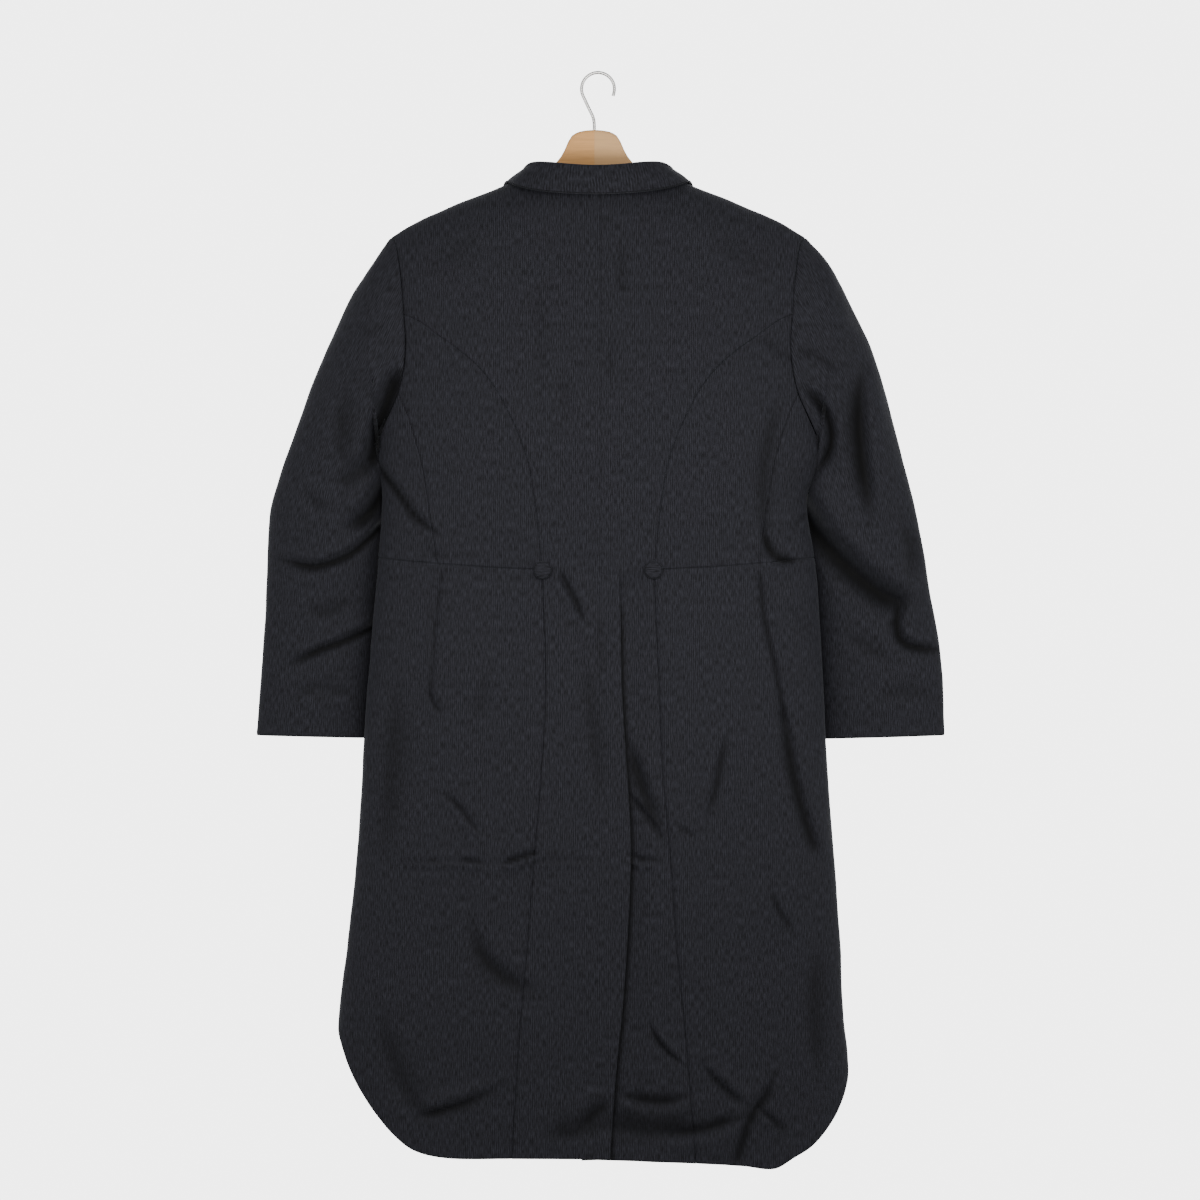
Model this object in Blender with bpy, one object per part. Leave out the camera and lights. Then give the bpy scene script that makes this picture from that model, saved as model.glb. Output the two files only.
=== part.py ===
"""A morning tailcoat hung on a wooden hanger, seen from behind as +Y is looked along.

The coat is built as it is cut: backs, side bodies, foreparts, skirts, two-piece sleeves, lapels and a
turned-down collar, each a wall of cloth of its own. Every piece is worked out on one torso form or one
sleeve form, so that neighbours share their seam lines and stay a seam's gap apart.

Metres, +Z up. The origin is the inside top of the hanger's hook. +X is the right of a person who
looks at the back of the coat. A "drop" is a distance below the origin, and "side" is +1 or -1 for +X or -X.
"""
import math
from collections import namedtuple

import bmesh
import bpy
from mathutils import Vector

# Cloth and seams
CLOTH = 0.0022
SEAM_GAP = 0.0004
LAP_STEP = 0.0032
NORMAL_STEP = 0.0005
NO_LENGTH = 1e-6
MITRE_LEAST = 0.35
PI = math.pi
# Both sides of a seam split their rims' faces the same way, by which end is higher in this direction
RIM_ORDER = Vector((0.13, 0.07, 1.0))

# Torso form: half widths at each side, and how far the back and front stand from the middle plane
Section = namedtuple("Section", "drop left right back front")
SECTIONS = [
    Section(0.090, 0.2440, 0.2460, 0.0460, 0.0440),
    Section(0.180, 0.2440, 0.2460, 0.0480, 0.0460),
    Section(0.260, 0.2435, 0.2455, 0.0530, 0.0520),
    Section(0.330, 0.2445, 0.2475, 0.0560, 0.0580),
    Section(0.410, 0.2450, 0.2470, 0.0550, 0.0610),
    Section(0.440, 0.2400, 0.2390, 0.0530, 0.0610),
    Section(0.470, 0.2380, 0.2300, 0.0510, 0.0600),
    Section(0.540, 0.2430, 0.2390, 0.0470, 0.0580),
    Section(0.620, 0.2495, 0.2450, 0.0510, 0.0560),
    Section(0.740, 0.2580, 0.2515, 0.0550, 0.0520),
    Section(0.870, 0.2660, 0.2610, 0.0560, 0.0460),
    Section(0.960, 0.2760, 0.2675, 0.0540, 0.0420),
    Section(1.040, 0.2850, 0.2705, 0.0520, 0.0380),
    Section(1.080, 0.2860, 0.2745, 0.0510, 0.0360),
    Section(1.210, 0.2860, 0.2745, 0.0480, 0.0320),
]
SECTION_FULLNESS = 0.35
SHOULDER_ROUND = 0.060

# Shoulder line, at a distance out from the middle
Slope = namedtuple("Slope", "out drop")
SHOULDER = [
    Slope(0.0000, 0.0920),
    Slope(0.0500, 0.1010),
    Slope(0.0780, 0.1110),
    Slope(0.1045, 0.1225),
    Slope(0.1600, 0.1460),
    Slope(0.1970, 0.1620),
    Slope(0.2288, 0.1800),
    Slope(0.2500, 0.1940),
]
NECK_OUT = 0.078
NAPE_DROP = 0.1285
NECK_SHARES = [0, 0.35, 0.65, 0.88, 1]
BACK_COLUMNS = 4
SIDE_BODY_COLUMNS = 6

# Armhole: 13 stations from the shoulder's tip to the underarm, close together at both ends
ARM_TOP = 0.180
ARM_BOTTOM = 0.410
ARM_STEPS = 12
ARM_STATIONS = [
    (ARM_TOP + ARM_BOTTOM) / 2 - (ARM_BOTTOM - ARM_TOP) / 2 * math.cos(PI * k / ARM_STEPS)
    for k in range(ARM_STEPS + 1)
]
YOKE_STATION = 5
SIDE_SEAM_STATION = 8
Line = namedtuple("Line", "drop out")
ARMHOLE = [
    Line(0.1800, 0.2288),
    Line(0.1840, 0.2238),
    Line(0.1954, 0.2205),
    Line(0.2137, 0.2175),
    Line(0.2375, 0.2148),
    Line(0.2652, 0.2128),
    Line(0.2950, 0.2110),
    Line(0.3248, 0.2130),
    Line(0.3525, 0.2195),
    Line(0.3763, 0.2300),
    Line(0.3946, 0.2385),
    Line(0.4061, 0.2435),
    Line(0.4100, 0.2470),
]
FRONT_SCOOP = 0.010

# Seams of the back, as distances out from the middle
CENTRE_SEAM_OUT = 0.003
BLADE_SEAM = [
    Line(0.2652, 0.2128),
    Line(0.2720, 0.1980),
    Line(0.2800, 0.1860),
    Line(0.2880, 0.1760),
    Line(0.3050, 0.1520),
    Line(0.3300, 0.1250),
    Line(0.3640, 0.1025),
    Line(0.4200, 0.0790),
    Line(0.4720, 0.0690),
    Line(0.5460, 0.0610),
]
SIDE_SEAM = [
    Line(0.3525, 0.2195),
    Line(0.3763, 0.2085),
    Line(0.4100, 0.1980),
    Line(0.4300, 0.1925),
    Line(0.4720, 0.1855),
    Line(0.5460, 0.1745),
]
Pleat = namedtuple("Pleat", "drop left right")
PLEAT = [
    Pleat(0.5460, 0.0610, 0.0610),
    Pleat(0.6680, 0.0570, 0.0665),
    Pleat(0.7700, 0.0620, 0.0710),
    Pleat(0.8600, 0.0695, 0.0790),
    Pleat(0.9600, 0.0775, 0.0860),
    Pleat(1.0600, 0.0860, 0.0960),
    Pleat(1.2100, 0.0955, 0.1080),
]

# Centre vent: the left tail laps over the right one, from just under the waist to the hem
VENT_TOP = 0.560
VENT_UNDERLAP = 0.018
VENT_SLOPE_END = 0.001
SINK_FULL = 0.040
SINK_START = 0.060
LAP_COLUMNS = 3
VENT_EDGE = [
    Line(0.5460, 0.0242),
    Line(0.6760, 0.0264),
    Line(0.7940, 0.0337),
    Line(0.8650, 0.0360),
    Line(1.0050, 0.0286),
    Line(1.0990, 0.0196),
    Line(1.2100, 0.0120),
]

# Waist seam, hem and the cutaway front edge, by angle round the body from the middle of the back
WAIST_DROP = 0.546
WAIST_SIDE_RISE = 0.014
WAIST_FRONT_DIP = 0.004
Edge = namedtuple("Edge", "angle left right")
HEM = [
    Edge(0.00, 1.1900, 1.1910),
    Edge(0.35, 1.1895, 1.1940),
    Edge(0.61, 1.1890, 1.1975),
    Edge(0.78, 1.1810, 1.2010),
    Edge(0.90, 1.1640, 1.1890),
    Edge(1.03, 1.1395, 1.1760),
    Edge(1.22, 1.1025, 1.1490),
    Edge(1.42, 1.0650, 1.1180),
    Edge(1.571, 1.0430, 1.0900),
    Edge(1.80, 0.9700, 0.9900),
    Edge(2.10, 0.8680, 0.8780),
    Edge(2.40, 0.7720, 0.7760),
    Edge(2.70, 0.6860, 0.6870),
    Edge(3.00, 0.6100, 0.6100),
    Edge(3.22, 0.5650, 0.5650),
]

# Front edge: the lapel's roll line down to the break, and the overlap at the button
ROLL_TOP_OUT = 0.076
ROLL_TOP_DROP = 0.1155
BREAK_DROP = 0.505
FRONT_OVERLAP = 0.013
LAP_START = 0.085
LAP_FULL = 0.036
BUTTON_DROP = 0.522
FOREPART_COLUMNS = 9
STRIP_COLUMNS = 4

# Lapel outline on the forepart, from the break up to the gorge
LAPEL_OUTER = [
    Line(0.1780, 0.1480),
    Line(0.1900, 0.1400),
    Line(0.2150, 0.1240),
    Line(0.2500, 0.1070),
    Line(0.3000, 0.0870),
    Line(0.3600, 0.0620),
    Line(0.4200, 0.0280),
    Line(0.4460, 0.0080),
]
GORGE_DROP = 0.198
NOTCH_SHARE = 0.35
LAPEL_LIFT = 0.0014
LAPEL_FROM_ROLL = 0.001
LAPEL_NARROWEST = 0.004
LAPEL_COLUMNS = 7
LAPEL_ROWS = 12

# Rows below the underarm, and shares of the way from the waist to the hem
BODICE_ROWS = [0.425, 0.440, 0.458, 0.480, 0.505, 0.525]
SKIRT_SHARES = [0, 0.0224, 0.07, 0.14, 0.22, 0.31, 0.40, 0.49, 0.58, 0.67, 0.76, 0.85, 0.93, 1]
BLADE_ROWS = [0.272, 0.280, 0.288, 0.306, 0.316, 0.339]
SKIRT_COLUMNS = 16
SKIRT_CROWDING = 1.15

# The largest folds, on the back or the front of the torso form, as soft troughs (or ridges, depth below 0)
Fold = namedtuple("Fold", "face x0 drop0 x1 drop1 width depth")
FOLD_END = 0.4
FOLDS = [
    Fold("back", -0.245, 0.440, -0.160, 0.520, 0.018, 0.0060),
    Fold("back", 0.190, 0.360, 0.184, 0.510, 0.022, 0.0035),
    Fold("back", 0.022, 0.190, 0.014, 0.360, 0.020, 0.0020),
    Fold("back", -0.033, 0.568, -0.010, 0.640, 0.016, 0.0030),
    Fold("back", -0.026, 0.670, 0.005, 0.820, 0.024, 0.0030),
    Fold("back", -0.140, 0.915, -0.105, 0.985, 0.026, 0.0050),
    Fold("back", -0.178, 1.145, -0.090, 1.100, 0.020, 0.0045),
    Fold("back", 0.142, 0.714, 0.113, 0.827, 0.022, 0.0040),
    Fold("back", 0.184, 0.620, 0.221, 0.775, 0.020, 0.0050),
    Fold("back", 0.221, 0.775, 0.245, 0.850, 0.020, 0.0050),
    Fold("back", 0.104, 1.062, 0.170, 1.127, 0.020, -0.0035),
    Fold("back", 0.202, 1.076, 0.165, 1.150, 0.022, 0.0045),
    Fold("front", -0.190, 0.640, -0.215, 0.860, 0.024, 0.0050),
    Fold("front", 0.180, 0.640, 0.205, 0.840, 0.024, 0.0050),
    Fold("front", -0.170, 0.440, -0.090, 0.520, 0.022, 0.0030),
    Fold("front", 0.175, 0.430, 0.100, 0.515, 0.022, 0.0030),
]

# Sleeves: each ring runs from a point on the outer edge to one on the inner edge
Ring = namedtuple("Ring", "out_x out_drop in_x in_drop depth forward")
SLEEVE_RINGS = {
    -1: [
        Ring(0.2442, 0.2024, 0.2485, 0.4180, 0.0400, 0.0020),
        Ring(0.2585, 0.2244, 0.2470, 0.4260, 0.0430, 0.0045),
        Ring(0.2728, 0.2464, 0.2450, 0.4340, 0.0440, 0.0080),
        Ring(0.2900, 0.2830, 0.2425, 0.4430, 0.0440, 0.0120),
        Ring(0.3090, 0.3256, 0.2400, 0.4540, 0.0430, 0.0160),
        Ring(0.3245, 0.3680, 0.2380, 0.4680, 0.0420, 0.0195),
        Ring(0.3388, 0.4080, 0.2370, 0.4850, 0.0410, 0.0225),
        Ring(0.3510, 0.4450, 0.2375, 0.5050, 0.0400, 0.0250),
        Ring(0.3600, 0.4780, 0.2385, 0.5250, 0.0390, 0.0270),
        Ring(0.3640, 0.5200, 0.2400, 0.5500, 0.0370, 0.0285),
        Ring(0.3660, 0.5600, 0.2420, 0.5800, 0.0350, 0.0295),
        Ring(0.3680, 0.6050, 0.2445, 0.6180, 0.0330, 0.0300),
        Ring(0.3710, 0.6500, 0.2470, 0.6560, 0.0310, 0.0300),
        Ring(0.3740, 0.6950, 0.2500, 0.6980, 0.0290, 0.0300),
        Ring(0.3765, 0.7280, 0.2515, 0.7310, 0.0270, 0.0300),
    ],
    1: [
        Ring(0.2507, 0.2040, 0.2472, 0.4180, 0.0390, 0.0020),
        Ring(0.2660, 0.2310, 0.2450, 0.4260, 0.0430, 0.0050),
        Ring(0.2794, 0.2570, 0.2442, 0.4340, 0.0440, 0.0100),
        Ring(0.2910, 0.2790, 0.2405, 0.4430, 0.0440, 0.0155),
        Ring(0.3035, 0.3070, 0.2360, 0.4540, 0.0430, 0.0190),
        Ring(0.3180, 0.3540, 0.2305, 0.4680, 0.0420, 0.0220),
        Ring(0.3290, 0.3960, 0.2265, 0.4850, 0.0410, 0.0235),
        Ring(0.3400, 0.4380, 0.2275, 0.5050, 0.0400, 0.0255),
        Ring(0.3500, 0.4780, 0.2300, 0.5250, 0.0390, 0.0270),
        Ring(0.3595, 0.5200, 0.2335, 0.5500, 0.0370, 0.0285),
        Ring(0.3665, 0.5650, 0.2370, 0.5800, 0.0350, 0.0295),
        Ring(0.3735, 0.6080, 0.2400, 0.6180, 0.0330, 0.0300),
        Ring(0.3790, 0.6500, 0.2420, 0.6560, 0.0310, 0.0300),
        Ring(0.3815, 0.6950, 0.2440, 0.6980, 0.0290, 0.0300),
        Ring(0.3832, 0.7280, 0.2455, 0.7320, 0.0270, 0.0300),
    ],
}
SLEEVE_FOLDS = {
    -1: [
        Fold("back", -0.232, 0.345, -0.248, 0.415, 0.014, 0.0090),
        Fold("back", -0.235, 0.470, -0.300, 0.515, 0.018, 0.0060),
        Fold("back", -0.360, 0.528, -0.300, 0.545, 0.014, 0.0055),
        Fold("back", -0.300, 0.545, -0.245, 0.512, 0.014, 0.0055),
        Fold("back", -0.345, 0.650, -0.250, 0.612, 0.014, 0.0050),
        Fold("front", -0.355, 0.500, -0.255, 0.540, 0.016, 0.0050),
    ],
    1: [
        Fold("back", 0.294, 0.340, 0.298, 0.500, 0.018, 0.0070),
        Fold("back", 0.228, 0.475, 0.315, 0.575, 0.018, 0.0110),
        Fold("back", 0.315, 0.575, 0.375, 0.632, 0.014, 0.0050),
        Fold("back", 0.236, 0.350, 0.262, 0.410, 0.014, 0.0080),
        Fold("front", 0.360, 0.520, 0.255, 0.560, 0.016, 0.0050),
    ],
}
HIND_SEAM_STATION = 11
FRONT_SEAM_STATION = 18
OVERHANG_RISE = 3

# Collar, for one half from the middle of the back to the gorge: seam, crease and outer edge
Neck = namedtuple("Neck", "seam crease edge")
COLLAR = [
    Neck((0.000, -0.0440, 0.1270), (0.000, -0.0470, 0.1000), (0.0000, -0.0525, 0.1340)),
    Neck((0.028, -0.0425, 0.1260), (0.028, -0.0455, 0.0998), (0.0320, -0.0518, 0.1333)),
    Neck((0.050, -0.0370, 0.1235), (0.052, -0.0380, 0.0992), (0.0620, -0.0480, 0.1310)),
    Neck((0.066, -0.0240, 0.1180), (0.068, -0.0250, 0.1000), (0.0870, -0.0350, 0.1265)),
    Neck((0.0735, -0.0100, 0.1120), (0.0745, -0.0110, 0.1030), (0.0985, -0.0170, 0.1200)),
    Neck((0.0750, 0.0060, 0.1125), (0.0765, 0.0060, 0.1065), (0.1035, 0.0040, 0.1187)),
    Neck((0.0715, 0.0200, 0.1190), (0.0740, 0.0210, 0.1125), (0.1070, 0.0260, 0.1245)),
    Neck((0.0670, 0.0330, 0.1330), (0.0695, 0.0350, 0.1260), (0.1090, 0.0440, 0.1390)),
    Neck((0.0615, 0.0410, 0.1520), (0.0640, 0.0440, 0.1465), (0.1100, 0.0520, 0.1550)),
    Neck((0.0570, 0.0470, 0.1720), (0.0580, 0.0500, 0.1680), (0.1080, 0.0545, 0.1720)),
]
COLLAR_FOLD_RADIUS = 0.0022
COLLAR_FOLD_DEGREES = [170, 130, 90, 50, 10]
COLLAR_FALL_SHARES = [0.35, 0.70, 1]
COLLAR_SEAM_CLEAR = 0.0022

# Hanger: half an outline, as distance out, top drop, bottom drop and half thickness
Bar = namedtuple("Bar", "out top bottom half")
HANGER_MIDDLE_X = -0.004
HANGER_BAR = [
    Bar(0.000, 0.0616, 0.1260, 0.0085),
    Bar(0.012, 0.0630, 0.1265, 0.0085),
    Bar(0.022, 0.0680, 0.1275, 0.0085),
    Bar(0.029, 0.0770, 0.1290, 0.0085),
    Bar(0.036, 0.0900, 0.1310, 0.0085),
    Bar(0.045, 0.1020, 0.1335, 0.0085),
    Bar(0.058, 0.1100, 0.1370, 0.0090),
    Bar(0.074, 0.1150, 0.1425, 0.0085),
    Bar(0.100, 0.1257, 0.1525, 0.0095),
    Bar(0.130, 0.1384, 0.1650, 0.0110),
    Bar(0.160, 0.1516, 0.1775, 0.0120),
    Bar(0.185, 0.1628, 0.1875, 0.0120),
    Bar(0.198, 0.1700, 0.1890, 0.0100),
    Bar(0.203, 0.1770, 0.1860, 0.0050),
]
BAR_CORNERS = 2
BAR_ROUNDING = 0.8

# Hook: its shank's places as distance from the shank's line and height above the neck, and its round part
HOOK_WIRE = 0.0018
HOOK_INSIDE = 0.0165
SHANK = [(0.000, 0.0003), (0.000, 0.008), (-0.001, 0.014), (-0.005, 0.021)]
HOOK_START_DEGREES = 215
HOOK_END_DEGREES = -25
HOOK_STEPS = 16

# Covered buttons
BUTTON_RADIUS = 0.0100
BUTTON_HEIGHT = 0.0050
BUTTON_SEAT = 0.0006
BUTTON_TAPER = 0.94
BUTTON_ROUNDING = 0.00275
BACK_BUTTON_OUT = 0.0605

COLOURS = {
    "suiting": (0.022, 0.024, 0.028),
    "button_cloth": (0.016, 0.017, 0.019),
    "wood": (0.62, 0.40, 0.21),
    "steel": (0.60, 0.60, 0.60),
}


def make_material(name, roughness, metallic=0.0):
    material = bpy.data.materials.new(name)
    material.use_nodes = True
    shader = material.node_tree.nodes["Principled BSDF"]
    shader.inputs["Base Color"].default_value = (*COLOURS[name], 1)
    shader.inputs["Roughness"].default_value = roughness
    shader.inputs["Metallic"].default_value = metallic
    return material


def sample(rows, at, column):
    """A column's value between a table's rows, on a smooth curve through them."""
    if at <= rows[0][0]:
        return getattr(rows[0], column)
    if at >= rows[-1][0]:
        return getattr(rows[-1], column)
    k = max(i for i in range(len(rows) - 1) if rows[i][0] <= at)

    def slope(i, j):
        return (getattr(rows[j], column) - getattr(rows[i], column)) / (rows[j][0] - rows[i][0])

    span = rows[k + 1][0] - rows[k][0]
    t = (at - rows[k][0]) / span
    start = slope(max(k - 1, 0), k + 1)
    end = slope(k, min(k + 2, len(rows) - 1))
    low, high = getattr(rows[k], column), getattr(rows[k + 1], column)
    return (
        (1 + 2 * t) * (1 - t) ** 2 * low
        + t * (1 - t) ** 2 * span * start
        + t * t * (3 - 2 * t) * high
        + t * t * (t - 1) * span * end
    )


def ease(low, high, at):
    """0 at low, 1 at high, smooth between."""
    t = min(1.0, max(0.0, (at - low) / (high - low)))
    return t * t * (3 - 2 * t)


def side_column(side):
    return "right" if side > 0 else "left"


def half_width(side, drop):
    return sample(SECTIONS, drop, side_column(side))


def stand_off(back, drop, share):
    depth = sample(SECTIONS, drop, "back" if back else "front")
    return depth * (1 + SECTION_FULLNESS * share * share)


def ridge_share(x, drop):
    """How much of its full depth the form has, near the shoulder line."""
    below = (drop - sample(SHOULDER, abs(x), "drop")) / SHOULDER_ROUND
    below = min(1.0, max(0.0, below))
    return 1 - (1 - below) ** 2


def form_point(side, angle, drop):
    """A point of the torso form. The angle goes from the middle of the back round to the front."""
    width = half_width(side, drop)
    share = math.sin(angle)
    x = side * width * share
    back = math.cos(angle) > 0
    depth = stand_off(back, drop, share) * abs(math.cos(angle)) * math.sqrt(ridge_share(x, drop))
    return Vector((x, -depth if back else depth, -drop))


def form_level(side, point):
    """Zero on the torso form, and above zero outside it."""
    drop = -point.z
    share = side * point.x / half_width(side, drop)
    depth = stand_off(point.y < 0, drop, share)
    return (point.y / depth) ** 2 - (1 - share * share) * ridge_share(point.x, drop)


def form_normal(side, point):
    slopes = []
    for axis in range(3):
        step = Vector([NORMAL_STEP if k == axis else 0 for k in range(3)])
        slopes.append(form_level(side, point + step) - form_level(side, point - step))
    return Vector(slopes).normalized()


def fold_depth(folds, x, drop, back_share):
    """How far the cloth is pushed in here by the folds. back_share is 1 on the back and -1 on the front."""
    total = 0.0
    for fold in folds:
        facing = back_share if fold.face == "back" else -back_share
        if facing <= 0:
            continue
        run = Vector((fold.x1 - fold.x0, fold.drop1 - fold.drop0))
        away = Vector((x - fold.x0, drop - fold.drop0))
        along = away.dot(run) / run.length_squared
        nearest = min(1.0, max(0.0, along))
        distance = (away - run * nearest).length
        fade = 4 * nearest * (1 - nearest) * (1 - FOLD_END) + FOLD_END
        total += fold.depth * fade * math.exp(-((distance / fold.width) ** 2)) * min(1, 2 * facing)
    return total


def angle_on(side, out, drop, front=False):
    """The angle of a place that lies this far out from the middle, towards its own side."""
    angle = math.asin(min(1.0, out / half_width(side, drop)))
    return PI - angle if front else angle


def waist_drop(angle):
    rise = WAIST_SIDE_RISE * math.sin(angle) ** 2
    dip = WAIST_FRONT_DIP * math.cos(angle) ** 2 if math.cos(angle) < 0 else 0
    return WAIST_DROP - rise + dip


def hem_drop(side, angle):
    return sample(HEM, angle, side_column(side))


def armhole_angle(side, drop, front):
    if drop >= ARM_BOTTOM:
        return PI / 2
    out = sample(ARMHOLE, drop, "out")
    if front:
        out -= FRONT_SCOOP * math.sin(PI * (drop - ARM_TOP) / (ARM_BOTTOM - ARM_TOP))
    return angle_on(side, out, drop, front)


def roll_out(drop):
    """The front edge of a forepart: the roll line, and then the overlap."""
    share = min(1.0, (drop - ROLL_TOP_DROP) / (BREAK_DROP - ROLL_TOP_DROP))
    return ROLL_TOP_OUT * (1 - share) - FRONT_OVERLAP * share


def lift(side, angle, drop):
    """How far a piece stands off the form where one layer laps over another."""
    own_x = side * half_width(side, drop) * math.sin(angle)
    if math.cos(angle) < 0:
        return LAP_STEP * ease(-LAP_START, -LAP_FULL, own_x) if side < 0 else 0.0
    if side < 0:
        return 0.0
    under_vent = ease(WAIST_DROP + VENT_SLOPE_END, VENT_TOP - VENT_SLOPE_END, drop)
    return -LAP_STEP * under_vent * (1 - ease(SINK_FULL, SINK_START, own_x))


class Patch:
    """A grid of places on the torso form, as rows from top to bottom, with the seams on its edges."""

    def __init__(self, side, rows, seams):
        self.side = side
        self.outer = []
        self.normals = []
        for row in rows:
            line = [self.place(angle, drop) for angle, drop in row]
            self.outer.append([point for point, _ in line])
            self.normals.append([normal for _, normal in line])
        pull_back(self.outer, seams)

    def place(self, angle, drop):
        point = form_point(self.side, angle, drop)
        normal = form_normal(self.side, point)
        inwards = fold_depth(FOLDS, point.x, drop, math.cos(angle))
        return point + normal * (lift(self.side, angle, drop) - inwards), normal


def pull_back(points, seams):
    """Moves a grid's seam edges in by half a seam's gap, square to the seam."""
    last_row, last_column = len(points) - 1, len(points[0]) - 1
    edges = {
        "left": [((i, 0), (i, 1)) for i in range(last_row + 1)],
        "right": [((i, last_column), (i, last_column - 1)) for i in range(last_row + 1)],
        "top": [((0, j), (1, j)) for j in range(last_column + 1)],
        "bottom": [((last_row, j), (last_row - 1, j)) for j in range(last_column + 1)],
    }
    moves = []
    for name in seams:
        cells = edges[name]
        for k, ((i, j), (m, n)) in enumerate(cells):
            inwards = points[m][n] - points[i][j]
            if (points[i][0] - points[i][-1]).length < NO_LENGTH:
                middle = points[i + 1][len(points[i]) // 2]
                moves.append((i, j, (middle - points[i][j]).normalized() * SEAM_GAP * 2))
                continue
            before, after = cells[max(k - 1, 0)][0], cells[min(k + 1, len(cells) - 1)][0]
            tangent = points[after[0]][after[1]] - points[before[0]][before[1]]
            if inwards.length < NO_LENGTH or tangent.length < NO_LENGTH:
                continue
            inwards.normalize()
            square = inwards.cross(tangent.normalized()).length
            moves.append((i, j, inwards * (SEAM_GAP / 2 / max(square, MITRE_LEAST))))
    for i, j, move in moves:
        if (points[i][0] - points[i][-1]).length < NO_LENGTH:
            points[i] = [point + move for point in points[i]]
        else:
            points[i][j] = points[i][j] + move


def add_grid(bm, outer, normals, inwards, known):
    """Adds a grid's cells to an open surface. Places already there are shared, and each keeps its way in."""
    corners = []
    for row, ways in zip(outer, normals):
        line = []
        for point, way in zip(row, ways):
            key = tuple(round(value, 6) for value in point)
            if key not in known:
                known[key] = bm.verts.new(point)
                inwards[known[key]] = -way * CLOTH
            line.append(known[key])
        corners.append(line)
    for above, below in zip(corners, corners[1:]):
        for j in range(len(above) - 1):
            face = list(dict.fromkeys((above[j], below[j], below[j + 1], above[j + 1])))
            if len(face) > 2:
                bm.faces.new(face)


def thicken(bm, inwards):
    """Gives an open surface its wall: an inner copy, and a rim along every free edge."""
    inner = {vertex: bm.verts.new(vertex.co + way) for vertex, way in inwards.items()}
    rims = []
    for edge in bm.edges:
        if edge.is_boundary:
            loop = edge.link_loops[0]
            rims.append((loop.vert, loop.link_loop_next.vert))
    for face in list(bm.faces):
        bm.faces.new([inner[vertex] for vertex in reversed(face.verts)])
    for a, b in rims:
        if RIM_ORDER.dot(a.co) > RIM_ORDER.dot(b.co):
            bm.faces.new((b, a, inner[b]))
            bm.faces.new((a, inner[a], inner[b]))
        else:
            bm.faces.new((b, a, inner[a]))
            bm.faces.new((b, inner[a], inner[b]))


def add_object(name, mesh, material, place=None):
    mesh.materials.append(material)
    mesh.shade_smooth()
    mesh.set_sharp_from_angle(angle=math.radians(40))
    piece = bpy.data.objects.new(name, mesh)
    if place is not None:
        piece.matrix_world = place
    bpy.data.collections["tailcoat"].objects.link(piece)
    return piece


def cloth_piece(name, grids, material, flip=False):
    """A wall of cloth made from grids of outer points and the form's normals."""
    bm = bmesh.new()
    inwards, known = {}, {}
    for outer, normals in grids:
        add_grid(bm, outer, normals, inwards, known)
    thicken(bm, inwards)
    if flip:
        bmesh.ops.reverse_faces(bm, faces=bm.faces)
    mesh = bpy.data.meshes.new(name)
    bm.to_mesh(mesh)
    bm.free()
    return add_object(name, mesh, material)


def spread(first, last, shares):
    return [first + (last - first) * share for share in shares]


def even(count):
    return [k / count for k in range(count + 1)]


def neckline_drop(out):
    """The back's neckline, from the nape up to the shoulder."""
    return NAPE_DROP + (sample(SHOULDER, NECK_OUT, "drop") - NAPE_DROP) * min(1.0, out / NECK_OUT) ** 2


def yoke_rows(side, inner_out, columns, front):
    """Rows that follow the shoulder line at the top and are level at the yoke station."""
    level = ARM_STATIONS[YOKE_STATION]
    rows = []
    for station in ARM_STATIONS[: YOKE_STATION + 1]:
        share = (station - ARM_TOP) / (level - ARM_TOP)
        row = []
        for column in columns:
            top_out = inner_out(None) + (sample(ARMHOLE, ARM_TOP, "out") - inner_out(None)) * column
            top = sample(SHOULDER, top_out, "drop")
            if top_out < NECK_OUT:
                top = neckline_drop(top_out)
            drop = top + (level - top) * share
            inner_drop = sample(SHOULDER, NECK_OUT, "drop") if front else NAPE_DROP
            inner = inner_out(inner_drop + (level - inner_drop) * share)
            armhole = side_out(side, armhole_angle(side, station, front), station)
            out = inner + (armhole - inner) * column
            row.append((angle_on(side, out, drop, front), drop))
        rows.append(row)
    return rows


def side_out(side, angle, drop):
    return half_width(side, drop) * math.sin(angle)


def back_inner(side):
    """Where a back panel starts: the centre seam, above the waist."""
    return lambda drop: side * CENTRE_SEAM_OUT


def level_row(side, drop, inner, outer, columns):
    """A level row between two distances out from the middle, on the back."""
    return [(angle_on(side, out, drop), drop) for out in spread(inner, outer, columns)]


def waist_row(row):
    return [(angle, waist_drop(angle)) for angle, _ in row]


def tail_rows(side, inner, outer, columns, shares=SKIRT_SHARES):
    """Rows from the waist to the hem, between two lines given by their distance out at a drop."""
    rows = []
    for share in shares:
        row = []
        for column in columns:
            drop = WAIST_DROP
            for _ in range(4):
                out = inner(drop) + (outer(drop) - inner(drop)) * column
                angle = angle_on(side, out, drop)
                drop = waist_drop(angle) + (hem_drop(side, abs(angle)) - waist_drop(angle)) * share
            row.append((angle, drop))
        rows.append(row)
    return rows


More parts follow.
